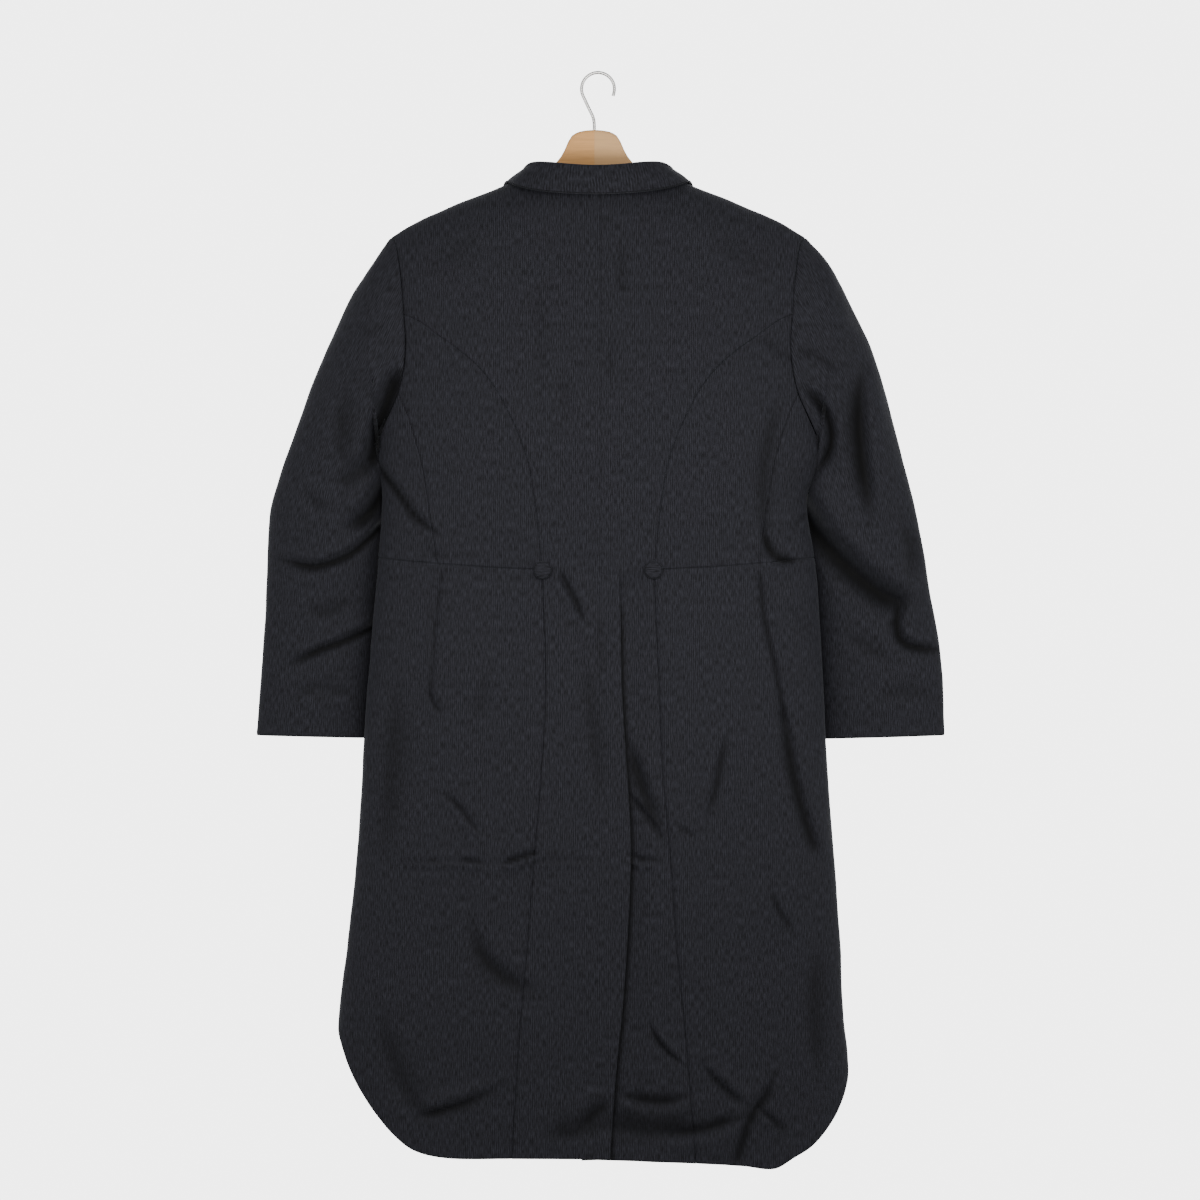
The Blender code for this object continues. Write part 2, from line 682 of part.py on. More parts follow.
def build_back(side, material):
    """A back panel in one length, from the neck and shoulder to the hem of the tail."""
    neck_share = (NECK_OUT - side * CENTRE_SEAM_OUT) / (ARMHOLE[0].out - side * CENTRE_SEAM_OUT)
    columns = spread(0, neck_share, NECK_SHARES) + spread(neck_share, 1, even(BACK_COLUMNS))[1:]
    inner = side * CENTRE_SEAM_OUT
    rows = yoke_rows(side, back_inner(side), columns, front=False)
    drops = sorted(BLADE_ROWS + ARM_STATIONS[YOKE_STATION + 1 :] + BODICE_ROWS)
    rows += [level_row(side, drop, inner, sample(BLADE_SEAM, drop, "out"), columns) for drop in drops]
    rows.append(waist_row(level_row(side, WAIST_DROP, inner, BLADE_SEAM[-1].out, columns)))
    bodice = Patch(side, rows, ["left", "right", "top"])

    def pleat(drop):
        return sample(PLEAT, drop, side_column(side))

    tail = Patch(side, tail_rows(side, lambda drop: inner, pleat, columns), ["right"])
    edge = (lambda drop: -sample(VENT_EDGE, drop, "out")) if side < 0 else (lambda drop: -VENT_UNDERLAP)
    lap = Patch(side, tail_rows(side, edge, lambda drop: inner, even(LAP_COLUMNS), SKIRT_SHARES[1:]), [])
    for i in range(len(tail.outer)):
        tail.outer[i][0] = bodice.outer[-1][0] if i == 0 else lap.outer[i - 1][-1]
    for j in range(len(columns)):
        tail.outer[0][j] = bodice.outer[-1][j]
    grids = [(patch.outer, patch.normals) for patch in (bodice, tail, lap)]
    name = "back_" + side_column(side)
    return cloth_piece(name, grids, material, flip=side < 0)


def build_side_body(side, material):
    """The panel between the curved blade seam and the side seam."""
    columns = even(SIDE_BODY_COLUMNS)
    drops = sorted(BLADE_ROWS + ARM_STATIONS[YOKE_STATION:] + BODICE_ROWS)
    rows = []
    for drop in drops:
        outer = sample(ARMHOLE, drop, "out")
        inner = sample(BLADE_SEAM, drop, "out") if rows else outer
        if drop >= SIDE_SEAM[0].drop:
            outer = sample(SIDE_SEAM, drop, "out")
        rows.append(level_row(side, drop, inner, outer, columns))
    rows.append(waist_row(level_row(side, WAIST_DROP, BLADE_SEAM[-1].out, SIDE_SEAM[-1].out, columns)))
    patch = Patch(side, rows, ["left", "right", "bottom"])
    name = "side_body_" + side_column(side)
    return cloth_piece(name, [(patch.outer, patch.normals)], material, flip=side < 0)


def build_forepart(side, material):
    """A forepart from the front edge round the side to the side seam, and its strip under the arm."""
    columns = even(FOREPART_COLUMNS)
    strip_columns = even(STRIP_COLUMNS)
    rows = yoke_rows(side, lambda drop: NECK_OUT if drop is None else roll_out(drop), columns, front=True)
    for drop in ARM_STATIONS[YOKE_STATION + 1 :] + BODICE_ROWS:
        start = angle_on(side, roll_out(drop), drop, front=True)
        rows.append([(angle, drop) for angle in spread(start, armhole_angle(side, drop, True), columns)])
    start = angle_on(side, roll_out(WAIST_DROP), WAIST_DROP, front=True)
    rows.append(waist_row([(angle, None) for angle in spread(start, PI / 2, columns)]))
    front = Patch(side, rows, ["top", "bottom"])
    armhole_rows = len(ARM_STATIONS)
    strip_rows = []
    for drop in ARM_STATIONS[SIDE_SEAM_STATION:] + BODICE_ROWS:
        seam = angle_on(side, sample(SIDE_SEAM, drop, "out"), drop)
        edge = armhole_angle(side, drop, False)
        strip_rows.append([(angle, drop) for angle in spread(edge, seam, strip_columns)])
    seam = angle_on(side, SIDE_SEAM[-1].out, WAIST_DROP)
    strip_rows.append(waist_row([(angle, None) for angle in spread(PI / 2, seam, strip_columns)]))
    strip = Patch(side, strip_rows, ["right", "bottom"])
    for i in range(ARM_STEPS - SIDE_SEAM_STATION):
        edge, beside = strip.outer[i][:2]
        strip.outer[i][0] = edge + (beside - edge).normalized() * (SEAM_GAP / 2)
    for below, i in enumerate(range(armhole_rows - 1, len(rows))):
        if below == 0:
            front.outer[i][-1] = front.outer[i][-1] - Vector((0, 0, SEAM_GAP))
        strip.outer[ARM_STEPS - SIDE_SEAM_STATION + below][0] = front.outer[i][-1]
    for i in range(armhole_rows - 1):
        edge, beside = front.outer[i][-1], front.outer[i][-2]
        front.outer[i][-1] = edge + (beside - edge).normalized() * (SEAM_GAP / 2)
    grids = [(patch.outer, patch.normals) for patch in (front, strip)]
    return cloth_piece("forepart_" + side_column(side), grids, material, flip=side > 0)


def build_skirt(side, material):
    """A skirt from the pleat round to the cutaway front edge."""
    stop = PI + math.asin(FRONT_OVERLAP / half_width(side, WAIST_DROP))
    shares = [share**SKIRT_CROWDING for share in even(SKIRT_COLUMNS)]
    rows = []
    for down in SKIRT_SHARES:
        row = []
        for share in shares:
            drop = WAIST_DROP
            for _ in range(5):
                first = angle_on(side, sample(PLEAT, drop, side_column(side)), drop)
                angle = first + (stop - first) * share
                drop = waist_drop(angle) + (hem_drop(side, angle) - waist_drop(angle)) * down
            row.append((angle, drop))
        rows.append(row)
    patch = Patch(side, rows, ["left", "top"])
    name = "skirt_" + side_column(side)
    return cloth_piece(name, [(patch.outer, patch.normals)], material, flip=side < 0)


def lapel_top(share):
    """The gorge, from the roll line out to the peak."""
    return GORGE_DROP + (LAPEL_OUTER[0].drop - GORGE_DROP) * ease(NOTCH_SHARE, 1.0, share)


def build_lapel(side, material):
    """A peaked lapel that lies on its forepart, made from the forepart's form moved out."""
    columns = even(LAPEL_COLUMNS)
    rows = []
    bottom = LAPEL_OUTER[-1].drop
    for down in even(LAPEL_ROWS):
        row = []
        for share in columns:
            drop = lapel_top(share) + (bottom - lapel_top(share)) * down
            inner = roll_out(drop) + LAPEL_FROM_ROLL
            outer = max(sample(LAPEL_OUTER, drop, "out"), inner + LAPEL_NARROWEST)
            row.append((angle_on(side, inner + (outer - inner) * share, drop, front=True), drop))
        rows.append(row)
    patch = Patch(side, rows, [])
    raised = []
    for points, ways in zip(patch.outer, patch.normals):
        raised.append([point + way * (CLOTH + LAPEL_LIFT) for point, way in zip(points, ways)])
    name = "lapel_" + side_column(side)
    return cloth_piece(name, [(raised, patch.normals)], material, flip=side > 0)


def sleeve_grid(side):
    """Outer points of a sleeve as rings of stations, and their normals, from the armhole to the cuff."""
    around = 2 * ARM_STEPS
    rings = [[]]
    for k in range(around):
        station = ARM_STATIONS[k] if k <= ARM_STEPS else ARM_STATIONS[around - k]
        front = k > ARM_STEPS
        rings[0].append(form_point(side, armhole_angle(side, station, front), station))
    for ring in SLEEVE_RINGS[side]:
        outer = Vector((side * ring.out_x, ring.forward, -ring.out_drop))
        inner = Vector((side * ring.in_x, ring.forward, -ring.in_drop))
        middle, arm = (outer + inner) / 2, (outer - inner) / 2
        points = []
        for k in range(around):
            turn = 2 * PI * k / around
            back_share = math.sin(turn)
            point = middle + arm * math.cos(turn) + Vector((0, -ring.depth * back_share, 0))
            inwards = fold_depth(SLEEVE_FOLDS[side], point.x, -point.z, back_share)
            points.append(point + Vector((0, inwards * (1 if back_share > 0 else -1), 0)))
        rings.append(points)
    normals = []
    for i, ring in enumerate(rings):
        ways = []
        for k in range(around):
            along = rings[min(i + 1, len(rings) - 1)][k] - rings[max(i - 1, 0)][k]
            across = ring[(k + 1) % around] - ring[k - 1]
            ways.append(side * across.cross(along).normalized())
        normals.append(ways)
    seat_in_armhole(side, rings[0], normals[0])
    return rings, normals


def seat_in_armhole(side, ring, ways):
    """Mitres a sleeve's first ring to the body's edge, and stands it off where it hangs over the body."""
    around = len(ring)
    middle = sum(ring, Vector()) / around
    moved = []
    for k, point in enumerate(ring):
        square = form_normal(side, point)
        away = (ring[(k + 1) % around] - ring[k - 1]).cross(square).normalized()
        if away.dot(point - middle) < 0:
            away = -away
        stand = 0.0
        if ways[k].dot(away) > 0:
            stand = SEAM_GAP * min(1.0, OVERHANG_RISE * ways[k].dot(away))
        else:
            ways[k] = square
        moved.append(point + square * stand - away * (SEAM_GAP / 2))
    ring[:] = moved


def build_sleeve(side, material):
    """The top sleeve and the under sleeve, parted at the hind and front seams."""
    rings, normals = sleeve_grid(side)
    around = 2 * ARM_STEPS
    spans = {
        "top_sleeve_": [k % around for k in range(FRONT_SEAM_STATION, around + HIND_SEAM_STATION + 1)],
        "under_sleeve_": list(range(HIND_SEAM_STATION, FRONT_SEAM_STATION + 1)),
    }
    for name, stations in spans.items():
        outer = [[ring[k] for k in stations] for ring in rings]
        ways = [[row[k] for k in stations] for row in normals]
        pull_back(outer, ["left", "right"])
        cloth_piece(name + side_column(side), [(outer, ways)], material, flip=side > 0)


def collar_section(seam, crease, edge):
    """One section of the folded collar: the middle of its cloth from the seam up, over and down."""
    out = Vector((edge.x - seam.x, edge.y - seam.y, 0))
    out.normalize()
    up = Vector((0, 0, 1))
    top = crease - up * COLLAR_FOLD_RADIUS
    centre = top + out * COLLAR_FOLD_RADIUS
    path = [seam, (seam + top) / 2]
    for degrees in COLLAR_FOLD_DEGREES:
        turn = math.radians(degrees)
        path.append(centre + (out * math.cos(turn) + up * math.sin(turn)) * COLLAR_FOLD_RADIUS)
    last = path[-1]
    path += [last + (edge - last) * share for share in COLLAR_FALL_SHARES]
    ways = []
    for k, point in enumerate(path):
        run = path[min(k + 1, len(path) - 1)] - path[max(k - 1, 0)]
        flat = Vector((run.dot(out), run.z))
        flat.normalize()
        ways.append(-flat.y * out + flat.x * up)
    return path, ways


def build_collar(material):
    """The collar, whole from gorge to gorge, folded over at its crease."""
    halves = [(-1, neck) for neck in reversed(COLLAR)] + [(1, neck) for neck in COLLAR[1:]]
    outer, normals = [], []
    for side, neck in halves:
        seam, crease, edge = (Vector((side * p[0], p[1], -p[2])) for p in neck)
        front = seam.y > 0
        out, drop = neck.seam[0], neckline_drop(neck.seam[0])
        if front:
            drop = neck.seam[2]
            out = roll_out(drop) - COLLAR_SEAM_CLEAR
        seam = form_point(side, angle_on(side, out, drop, front), drop)
        seam -= form_normal(side, seam) * CLOTH / 2
        if not front:
            seam.z += COLLAR_SEAM_CLEAR
        path, ways = collar_section(seam, crease, edge)
        outer.append([point + way * (CLOTH / 2) for point, way in zip(path, ways)])
        normals.append(ways)
    cloth_piece("collar", [(outer, normals)], material, flip=True)


def build_button(name, point, normal, material):
    """A covered button: a low dome on a flat foot."""
    bm = bmesh.new()
    wide, narrow = BUTTON_RADIUS, BUTTON_RADIUS * BUTTON_TAPER
    bmesh.ops.create_cone(bm, cap_ends=True, segments=24, radius1=wide, radius2=narrow, depth=BUTTON_HEIGHT)
    top = [edge for edge in bm.edges if all(vertex.co.z > 0 for vertex in edge.verts)]
    bmesh.ops.bevel(
        bm, geom=top, offset=BUTTON_ROUNDING, segments=2, profile=0.5, affect="EDGES", material=-1
    )
    bmesh.ops.translate(bm, verts=bm.verts, vec=(0, 0, BUTTON_HEIGHT / 2 + BUTTON_SEAT))
    mesh = bpy.data.meshes.new(name)
    bm.to_mesh(mesh)
    bm.free()
    place = normal.to_track_quat("Z", "Y").to_matrix().to_4x4()
    place.translation = point
    return add_object(name, mesh, material, place)


def build_buttons(material):
    """Two buttons at the back waist and one that closes the front."""
    for side in (-1, 1):
        angle = angle_on(side, BACK_BUTTON_OUT, WAIST_DROP)
        point = form_point(side, angle, WAIST_DROP)
        build_button("waist_button_" + side_column(side), point, form_normal(side, point), material)
    point = form_point(-1, PI, BUTTON_DROP)
    normal = form_normal(-1, point)
    build_button("front_button", point + normal * LAP_STEP, normal, material)


def loft(name, loops, material):
    """A closed body through a row of loops."""
    bm = bmesh.new()
    corners = [[bm.verts.new(point) for point in loop] for loop in loops]
    for first, second in zip(corners, corners[1:]):
        for k in range(len(first)):
            after = (k + 1) % len(first)
            bm.faces.new((first[k], first[after], second[after], second[k]))
    bm.faces.new(list(reversed(corners[0])))
    bm.faces.new(corners[-1])
    bmesh.ops.recalc_face_normals(bm, faces=bm.faces)
    mesh = bpy.data.meshes.new(name)
    bm.to_mesh(mesh)
    bm.free()
    return add_object(name, mesh, material)


def bar_section(x, bar):
    """A rounded section of the hanger's bar."""
    middle = (bar.top + bar.bottom) / 2
    tall = (bar.bottom - bar.top) / 2
    radius = min(tall, bar.half) * BAR_ROUNDING
    section = []
    for corner in range(4):
        start = corner * PI / 2
        y = (bar.half - radius) * (1 if corner in (0, 3) else -1)
        z = (tall - radius) * (1 if corner in (0, 1) else -1) - middle
        for k in range(BAR_CORNERS + 1):
            turn = start + PI / 2 * k / BAR_CORNERS
            section.append(Vector((x, y + radius * math.cos(turn), z + radius * math.sin(turn))))
    return section


def build_hanger(material):
    """The wooden hanger: a neck that stands above the collar and two arms inside the shoulders."""
    stations = [(-bar.out, bar) for bar in reversed(HANGER_BAR)] + [(bar.out, bar) for bar in HANGER_BAR[1:]]
    return loft("hanger", [bar_section(HANGER_MIDDLE_X + x, bar) for x, bar in stations], material)


def build_hook(material):
    """The wire hook: a straight shank that swings out and over the rod."""
    radius = HOOK_INSIDE + HOOK_WIRE
    route = [(HANGER_MIDDLE_X + away, HANGER_BAR[0].top - above) for away, above in SHANK]
    for degrees in spread(HOOK_START_DEGREES, HOOK_END_DEGREES, even(HOOK_STEPS)):
        turn = math.radians(degrees)
        route.append((radius * math.cos(turn), HOOK_INSIDE - radius * math.sin(turn)))
    data = bpy.data.curves.new("hook", "CURVE")
    data.dimensions = "3D"
    data.bevel_depth = HOOK_WIRE
    data.bevel_resolution = 2
    data.use_fill_caps = True
    spline = data.splines.new("POLY")
    spline.points.add(len(route) - 1)
    for point, (x, drop) in zip(spline.points, route):
        point.co = (x, 0, -drop, 1)
    data.materials.append(material)
    hook = bpy.data.objects.new("hook", data)
    bpy.data.collections["tailcoat"].objects.link(hook)
    return hook


def main():
    for obj in list(bpy.data.objects):
        bpy.data.objects.remove(obj)
    bpy.context.scene.collection.children.link(bpy.data.collections.new("tailcoat"))
    suiting = make_material("suiting", 0.85)
    button_cloth = make_material("button_cloth", 0.80)
    wood = make_material("wood", 0.45)
    steel = make_material("steel", 0.30, 1.0)
    for side in (-1, 1):
        build_back(side, suiting)
        build_side_body(side, suiting)
        build_forepart(side, suiting)
        build_skirt(side, suiting)
        build_lapel(side, suiting)
        build_sleeve(side, suiting)
    build_collar(suiting)
    build_buttons(button_cloth)
    build_hanger(wood)
    build_hook(steel)


main()
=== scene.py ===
"""The looks of a morning tailcoat on a wooden hanger, seen from behind.

Every piece of cloth is laid out on the same torso form or sleeve form as its solid, in metres, with +Z up
and the back of the coat towards -Y. A "drop" is a distance below the inside top of the hook, an "angle" goes
round the body from the middle of the back, and "side" is +1 or -1 for +X or -X.
"""
import math
from collections import namedtuple

import bmesh
import bpy
from mathutils import Matrix, Vector, kdtree, noise


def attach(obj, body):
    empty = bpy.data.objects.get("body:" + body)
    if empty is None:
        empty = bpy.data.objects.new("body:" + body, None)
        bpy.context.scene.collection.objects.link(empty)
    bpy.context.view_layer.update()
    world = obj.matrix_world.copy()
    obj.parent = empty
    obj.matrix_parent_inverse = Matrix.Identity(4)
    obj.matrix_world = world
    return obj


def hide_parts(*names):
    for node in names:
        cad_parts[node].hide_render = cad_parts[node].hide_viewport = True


bl_info = {
    "name": "Morning Tailcoat",
    "version": (1, 0, 0),
    "blender": (4, 5, 0),
    "location": "3D View > Sidebar > Tailcoat",
    "description": "Builds a striped morning tailcoat on a wooden hanger",
    "category": "Object",
}

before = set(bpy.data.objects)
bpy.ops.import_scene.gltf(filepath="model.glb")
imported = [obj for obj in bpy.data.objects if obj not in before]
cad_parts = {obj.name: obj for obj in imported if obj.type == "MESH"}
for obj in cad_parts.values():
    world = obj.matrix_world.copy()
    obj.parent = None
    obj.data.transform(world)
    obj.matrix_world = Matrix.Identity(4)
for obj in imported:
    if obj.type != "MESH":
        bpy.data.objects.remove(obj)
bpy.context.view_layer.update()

PI = math.pi
BODY = "root"
SIDES = (-1, 1)

# Torso form: half widths at each side, and how far the back and front stand from the middle plane
Section = namedtuple("Section", "drop left right back front")
SECTIONS = [
    Section(0.090, 0.2440, 0.2460, 0.0460, 0.0440),
    Section(0.180, 0.2440, 0.2460, 0.0480, 0.0460),
    Section(0.260, 0.2435, 0.2455, 0.0530, 0.0520),
    Section(0.330, 0.2445, 0.2475, 0.0560, 0.0580),
    Section(0.410, 0.2450, 0.2470, 0.0550, 0.0610),
    Section(0.440, 0.2400, 0.2390, 0.0530, 0.0610),
    Section(0.470, 0.2380, 0.2300, 0.0510, 0.0600),
    Section(0.540, 0.2430, 0.2390, 0.0470, 0.0580),
    Section(0.620, 0.2495, 0.2450, 0.0510, 0.0560),
    Section(0.740, 0.2580, 0.2515, 0.0550, 0.0520),
    Section(0.870, 0.2660, 0.2610, 0.0560, 0.0460),
    Section(0.960, 0.2760, 0.2675, 0.0540, 0.0420),
    Section(1.040, 0.2850, 0.2705, 0.0520, 0.0380),
    Section(1.080, 0.2860, 0.2745, 0.0510, 0.0360),
    Section(1.210, 0.2860, 0.2745, 0.0480, 0.0320),
]
SECTION_FULLNESS = 0.35
SHOULDER_ROUND = 0.060
ARC_SHARE = 0.6

# Shoulder line, at a distance out from the middle
Slope = namedtuple("Slope", "out drop")
SHOULDER = [
    Slope(0.0000, 0.0920),
    Slope(0.0500, 0.1010),
    Slope(0.0780, 0.1110),
    Slope(0.1045, 0.1225),
    Slope(0.1600, 0.1460),
    Slope(0.1970, 0.1620),
    Slope(0.2288, 0.1800),
    Slope(0.2500, 0.1940),
]
NECK_OUT = 0.078
NECK_DROP = 0.111
NAPE_DROP = 0.1285

# Armhole, from the shoulder's tip to the underarm
ARM_TOP = 0.180
ARM_BOTTOM = 0.410
YOKE_BOTTOM = 0.2652
Line = namedtuple("Line", "drop out")
ARMHOLE = [
    Line(0.1800, 0.2288),
    Line(0.1840, 0.2238),
    Line(0.1954, 0.2205),
    Line(0.2137, 0.2175),
    Line(0.2375, 0.2148),
    Line(0.2652, 0.2128),
    Line(0.2950, 0.2110),
    Line(0.3248, 0.2130),
    Line(0.3525, 0.2195),
    Line(0.3763, 0.2300),
    Line(0.3946, 0.2385),
    Line(0.4061, 0.2435),
    Line(0.4100, 0.2470),
]
FRONT_SCOOP = 0.010
CORNER_SHARE = 0.004

# Seams of the back, as distances out from the middle
CENTRE_SEAM_OUT = 0.003
BLADE_SEAM = [
    Line(0.2652, 0.2128),
    Line(0.2720, 0.1980),
    Line(0.2800, 0.1860),
    Line(0.2880, 0.1760),
    Line(0.3050, 0.1520),
    Line(0.3300, 0.1250),
    Line(0.3640, 0.1025),
    Line(0.4200, 0.0790),
    Line(0.4720, 0.0690),
    Line(0.5460, 0.0610),
]
SIDE_SEAM = [
    Line(0.3525, 0.2195),
    Line(0.3763, 0.2085),
    Line(0.4100, 0.1980),
    Line(0.4300, 0.1925),
    Line(0.4720, 0.1855),
    Line(0.5460, 0.1745),
]
Pleat = namedtuple("Pleat", "drop left right")
PLEAT = [
    Pleat(0.5460, 0.0610, 0.0610),
    Pleat(0.6680, 0.0570, 0.0665),
    Pleat(0.7700, 0.0620, 0.0710),
    Pleat(0.8600, 0.0695, 0.0790),
    Pleat(0.9600, 0.0775, 0.0860),
    Pleat(1.0600, 0.0860, 0.0960),
    Pleat(1.2100, 0.0955, 0.1080),
]
PLEAT_UNDER = 0.009
PLEAT_SINK = 0.0030

# Centre vent: the left tail laps over the right one
VENT_TOP = 0.560
VENT_UNDERLAP = 0.018
LAP_STEP = 0.0032
VENT_EDGE = [
    Line(0.5460, 0.0242),
    Line(0.6760, 0.0264),
    Line(0.7940, 0.0337),
    Line(0.8650, 0.0360),
    Line(1.0050, 0.0286),
    Line(1.0990, 0.0196),
    Line(1.2100, 0.0120),
]

VENT_SEAM_DROP = 0.5465
VENT_START_SUNK = 0.0011
VENT_SHADE = 0.9
SEAM_DIP = 0.0002
CENTRE_SEAM_PAINTED_SHADE = 0.16
VENT_GAPE = [
    Line(0.5600, 0.0001),
    Line(0.6500, 0.0005),
    Line(0.7400, 0.0016),
    Line(0.8600, 0.0028),
    Line(1.0000, 0.0024),
    Line(1.1000, 0.0018),
    Line(1.2000, 0.0014),
]

# Waist seam, hem and the cutaway front edge, by angle round the body
WAIST_DROP = 0.546
WAIST_SIDE_RISE = 0.014
WAIST_FRONT_DIP = 0.004
Edge = namedtuple("Edge", "angle left right")
HEM = [
    Edge(0.00, 1.1900, 1.1910),
    Edge(0.35, 1.1895, 1.1940),
    Edge(0.61, 1.1890, 1.1975),
    Edge(0.78, 1.1810, 1.2010),
    Edge(0.90, 1.1640, 1.1890),
    Edge(1.03, 1.1395, 1.1760),
    Edge(1.22, 1.1025, 1.1490),
    Edge(1.42, 1.0650, 1.1180),
    Edge(1.571, 1.0430, 1.0900),
    Edge(1.80, 0.9700, 0.9900),
    Edge(2.10, 0.8680, 0.8780),
    Edge(2.40, 0.7720, 0.7760),
    Edge(2.70, 0.6860, 0.6870),
    Edge(3.00, 0.6100, 0.6100),
    Edge(3.22, 0.5650, 0.5650),
]

# Front edge and lapel
ROLL_TOP_DROP = 0.1155
BREAK_DROP = 0.505
FRONT_OVERLAP = 0.013
LAP_START = 0.085
LAP_FULL = 0.036
BUTTON_DROP = 0.522
LAPEL_OUTER = [
    Line(0.1780, 0.1480),
    Line(0.1900, 0.1400),
    Line(0.2150, 0.1240),
    Line(0.2500, 0.1070),
    Line(0.3000, 0.0870),
    Line(0.3600, 0.0620),
    Line(0.4200, 0.0280),
    Line(0.4460, 0.0080),
]
GORGE_DROP = 0.198
LAPEL_STAND = 0.0036

# Sleeves: each ring runs from a point on the outer edge to one on the inner edge
Ring = namedtuple("Ring", "out_x out_drop in_x in_drop depth forward")
SLEEVE_RINGS = {
    -1: [
        Ring(0.2442, 0.2024, 0.2485, 0.4180, 0.0400, 0.0020),
        Ring(0.2585, 0.2244, 0.2470, 0.4260, 0.0430, 0.0045),
        Ring(0.2728, 0.2464, 0.2450, 0.4340, 0.0440, 0.0080),
        Ring(0.2900, 0.2830, 0.2425, 0.4430, 0.0440, 0.0120),
        Ring(0.3090, 0.3256, 0.2400, 0.4540, 0.0430, 0.0160),
        Ring(0.3245, 0.3680, 0.2380, 0.4680, 0.0420, 0.0195),
        Ring(0.3388, 0.4080, 0.2370, 0.4850, 0.0410, 0.0225),
        Ring(0.3510, 0.4450, 0.2375, 0.5050, 0.0400, 0.0250),
        Ring(0.3600, 0.4780, 0.2385, 0.5250, 0.0390, 0.0270),
        Ring(0.3640, 0.5200, 0.2400, 0.5500, 0.0370, 0.0285),
        Ring(0.3660, 0.5600, 0.2420, 0.5800, 0.0350, 0.0295),
        Ring(0.3680, 0.6050, 0.2445, 0.6180, 0.0330, 0.0300),
        Ring(0.3710, 0.6500, 0.2470, 0.6560, 0.0310, 0.0300),
        Ring(0.3740, 0.6950, 0.2500, 0.6980, 0.0290, 0.0300),
        Ring(0.3765, 0.7280, 0.2515, 0.7310, 0.0270, 0.0300),
    ],
    1: [
        Ring(0.2507, 0.2040, 0.2472, 0.4180, 0.0390, 0.0020),
        Ring(0.2660, 0.2310, 0.2450, 0.4260, 0.0430, 0.0050),
        Ring(0.2794, 0.2570, 0.2442, 0.4340, 0.0440, 0.0100),
        Ring(0.2910, 0.2790, 0.2405, 0.4430, 0.0440, 0.0155),
        Ring(0.3035, 0.3070, 0.2360, 0.4540, 0.0430, 0.0190),
        Ring(0.3180, 0.3540, 0.2305, 0.4680, 0.0420, 0.0220),
        Ring(0.3290, 0.3960, 0.2265, 0.4850, 0.0410, 0.0235),
        Ring(0.3400, 0.4380, 0.2275, 0.5050, 0.0400, 0.0255),
        Ring(0.3500, 0.4780, 0.2300, 0.5250, 0.0390, 0.0270),
        Ring(0.3595, 0.5200, 0.2335, 0.5500, 0.0370, 0.0285),
        Ring(0.3665, 0.5650, 0.2370, 0.5800, 0.0350, 0.0295),
        Ring(0.3735, 0.6080, 0.2400, 0.6180, 0.0330, 0.0300),
        Ring(0.3790, 0.6500, 0.2420, 0.6560, 0.0310, 0.0300),
        Ring(0.3815, 0.6950, 0.2440, 0.6980, 0.0290, 0.0300),
        Ring(0.3832, 0.7280, 0.2455, 0.7320, 0.0270, 0.0300),
    ],
}
HIND_SEAM_TURN = 2 * PI * 11 / 24
FRONT_SEAM_TURN = 2 * PI * 18 / 24
SLEEVE_HEAD_LIFT = 0.0022
SLEEVE_TUCK = 0.0030
INNER_TURN = 0.45
SLEEVE_GRAIN = [
    Line(0.1800, 0.2350),
    Line(0.3000, 0.2850),
    Line(0.4100, 0.3250),
    Line(0.5000, 0.3460),
    Line(0.6000, 0.3540),
    Line(0.7400, 0.3600),
]
GRAIN_WRAP = 0.6
HEAD_RINGS = 5.0
FLUSH_REACH = 0.0001

# Collar, for one half from the middle of the back to the gorge: seam, crease and outer edge
Neck = namedtuple("Neck", "seam crease edge")
COLLAR = [
    Neck((0.000, -0.0440, 0.1270), (0.000, -0.0470, 0.1052), (0.0000, -0.0525, 0.1352)),
    Neck((0.028, -0.0425, 0.1260), (0.028, -0.0455, 0.1040), (0.0320, -0.0518, 0.1342)),
    Neck((0.050, -0.0370, 0.1235), (0.052, -0.0380, 0.1014), (0.0620, -0.0480, 0.1316)),
    Neck((0.066, -0.0240, 0.1180), (0.067, -0.0250, 0.1008), (0.0855, -0.0350, 0.1266)),
    Neck((0.0735, -0.0100, 0.1120), (0.0745, -0.0110, 0.1035), (0.0965, -0.0172, 0.1214)),
    Neck((0.0750, 0.0060, 0.1125), (0.0765, 0.0060, 0.1065), (0.1015, 0.0040, 0.1208)),
    Neck((0.0715, 0.0200, 0.1190), (0.0740, 0.0210, 0.1125), (0.1055, 0.0260, 0.1252)),
    Neck((0.0670, 0.0330, 0.1330), (0.0695, 0.0350, 0.1260), (0.1090, 0.0440, 0.1390)),
    Neck((0.0615, 0.0410, 0.1520), (0.0640, 0.0440, 0.1465), (0.1100, 0.0520, 0.1550)),
    Neck((0.0570, 0.0470, 0.1720), (0.0580, 0.0500, 0.1680), (0.1080, 0.0545, 0.1720)),
]
COLLAR_FOLD_RADIUS = 0.0026
COLLAR_SHIFT = -0.0030
SHIFT_END = -0.012
SHIFT_FULL = -0.034
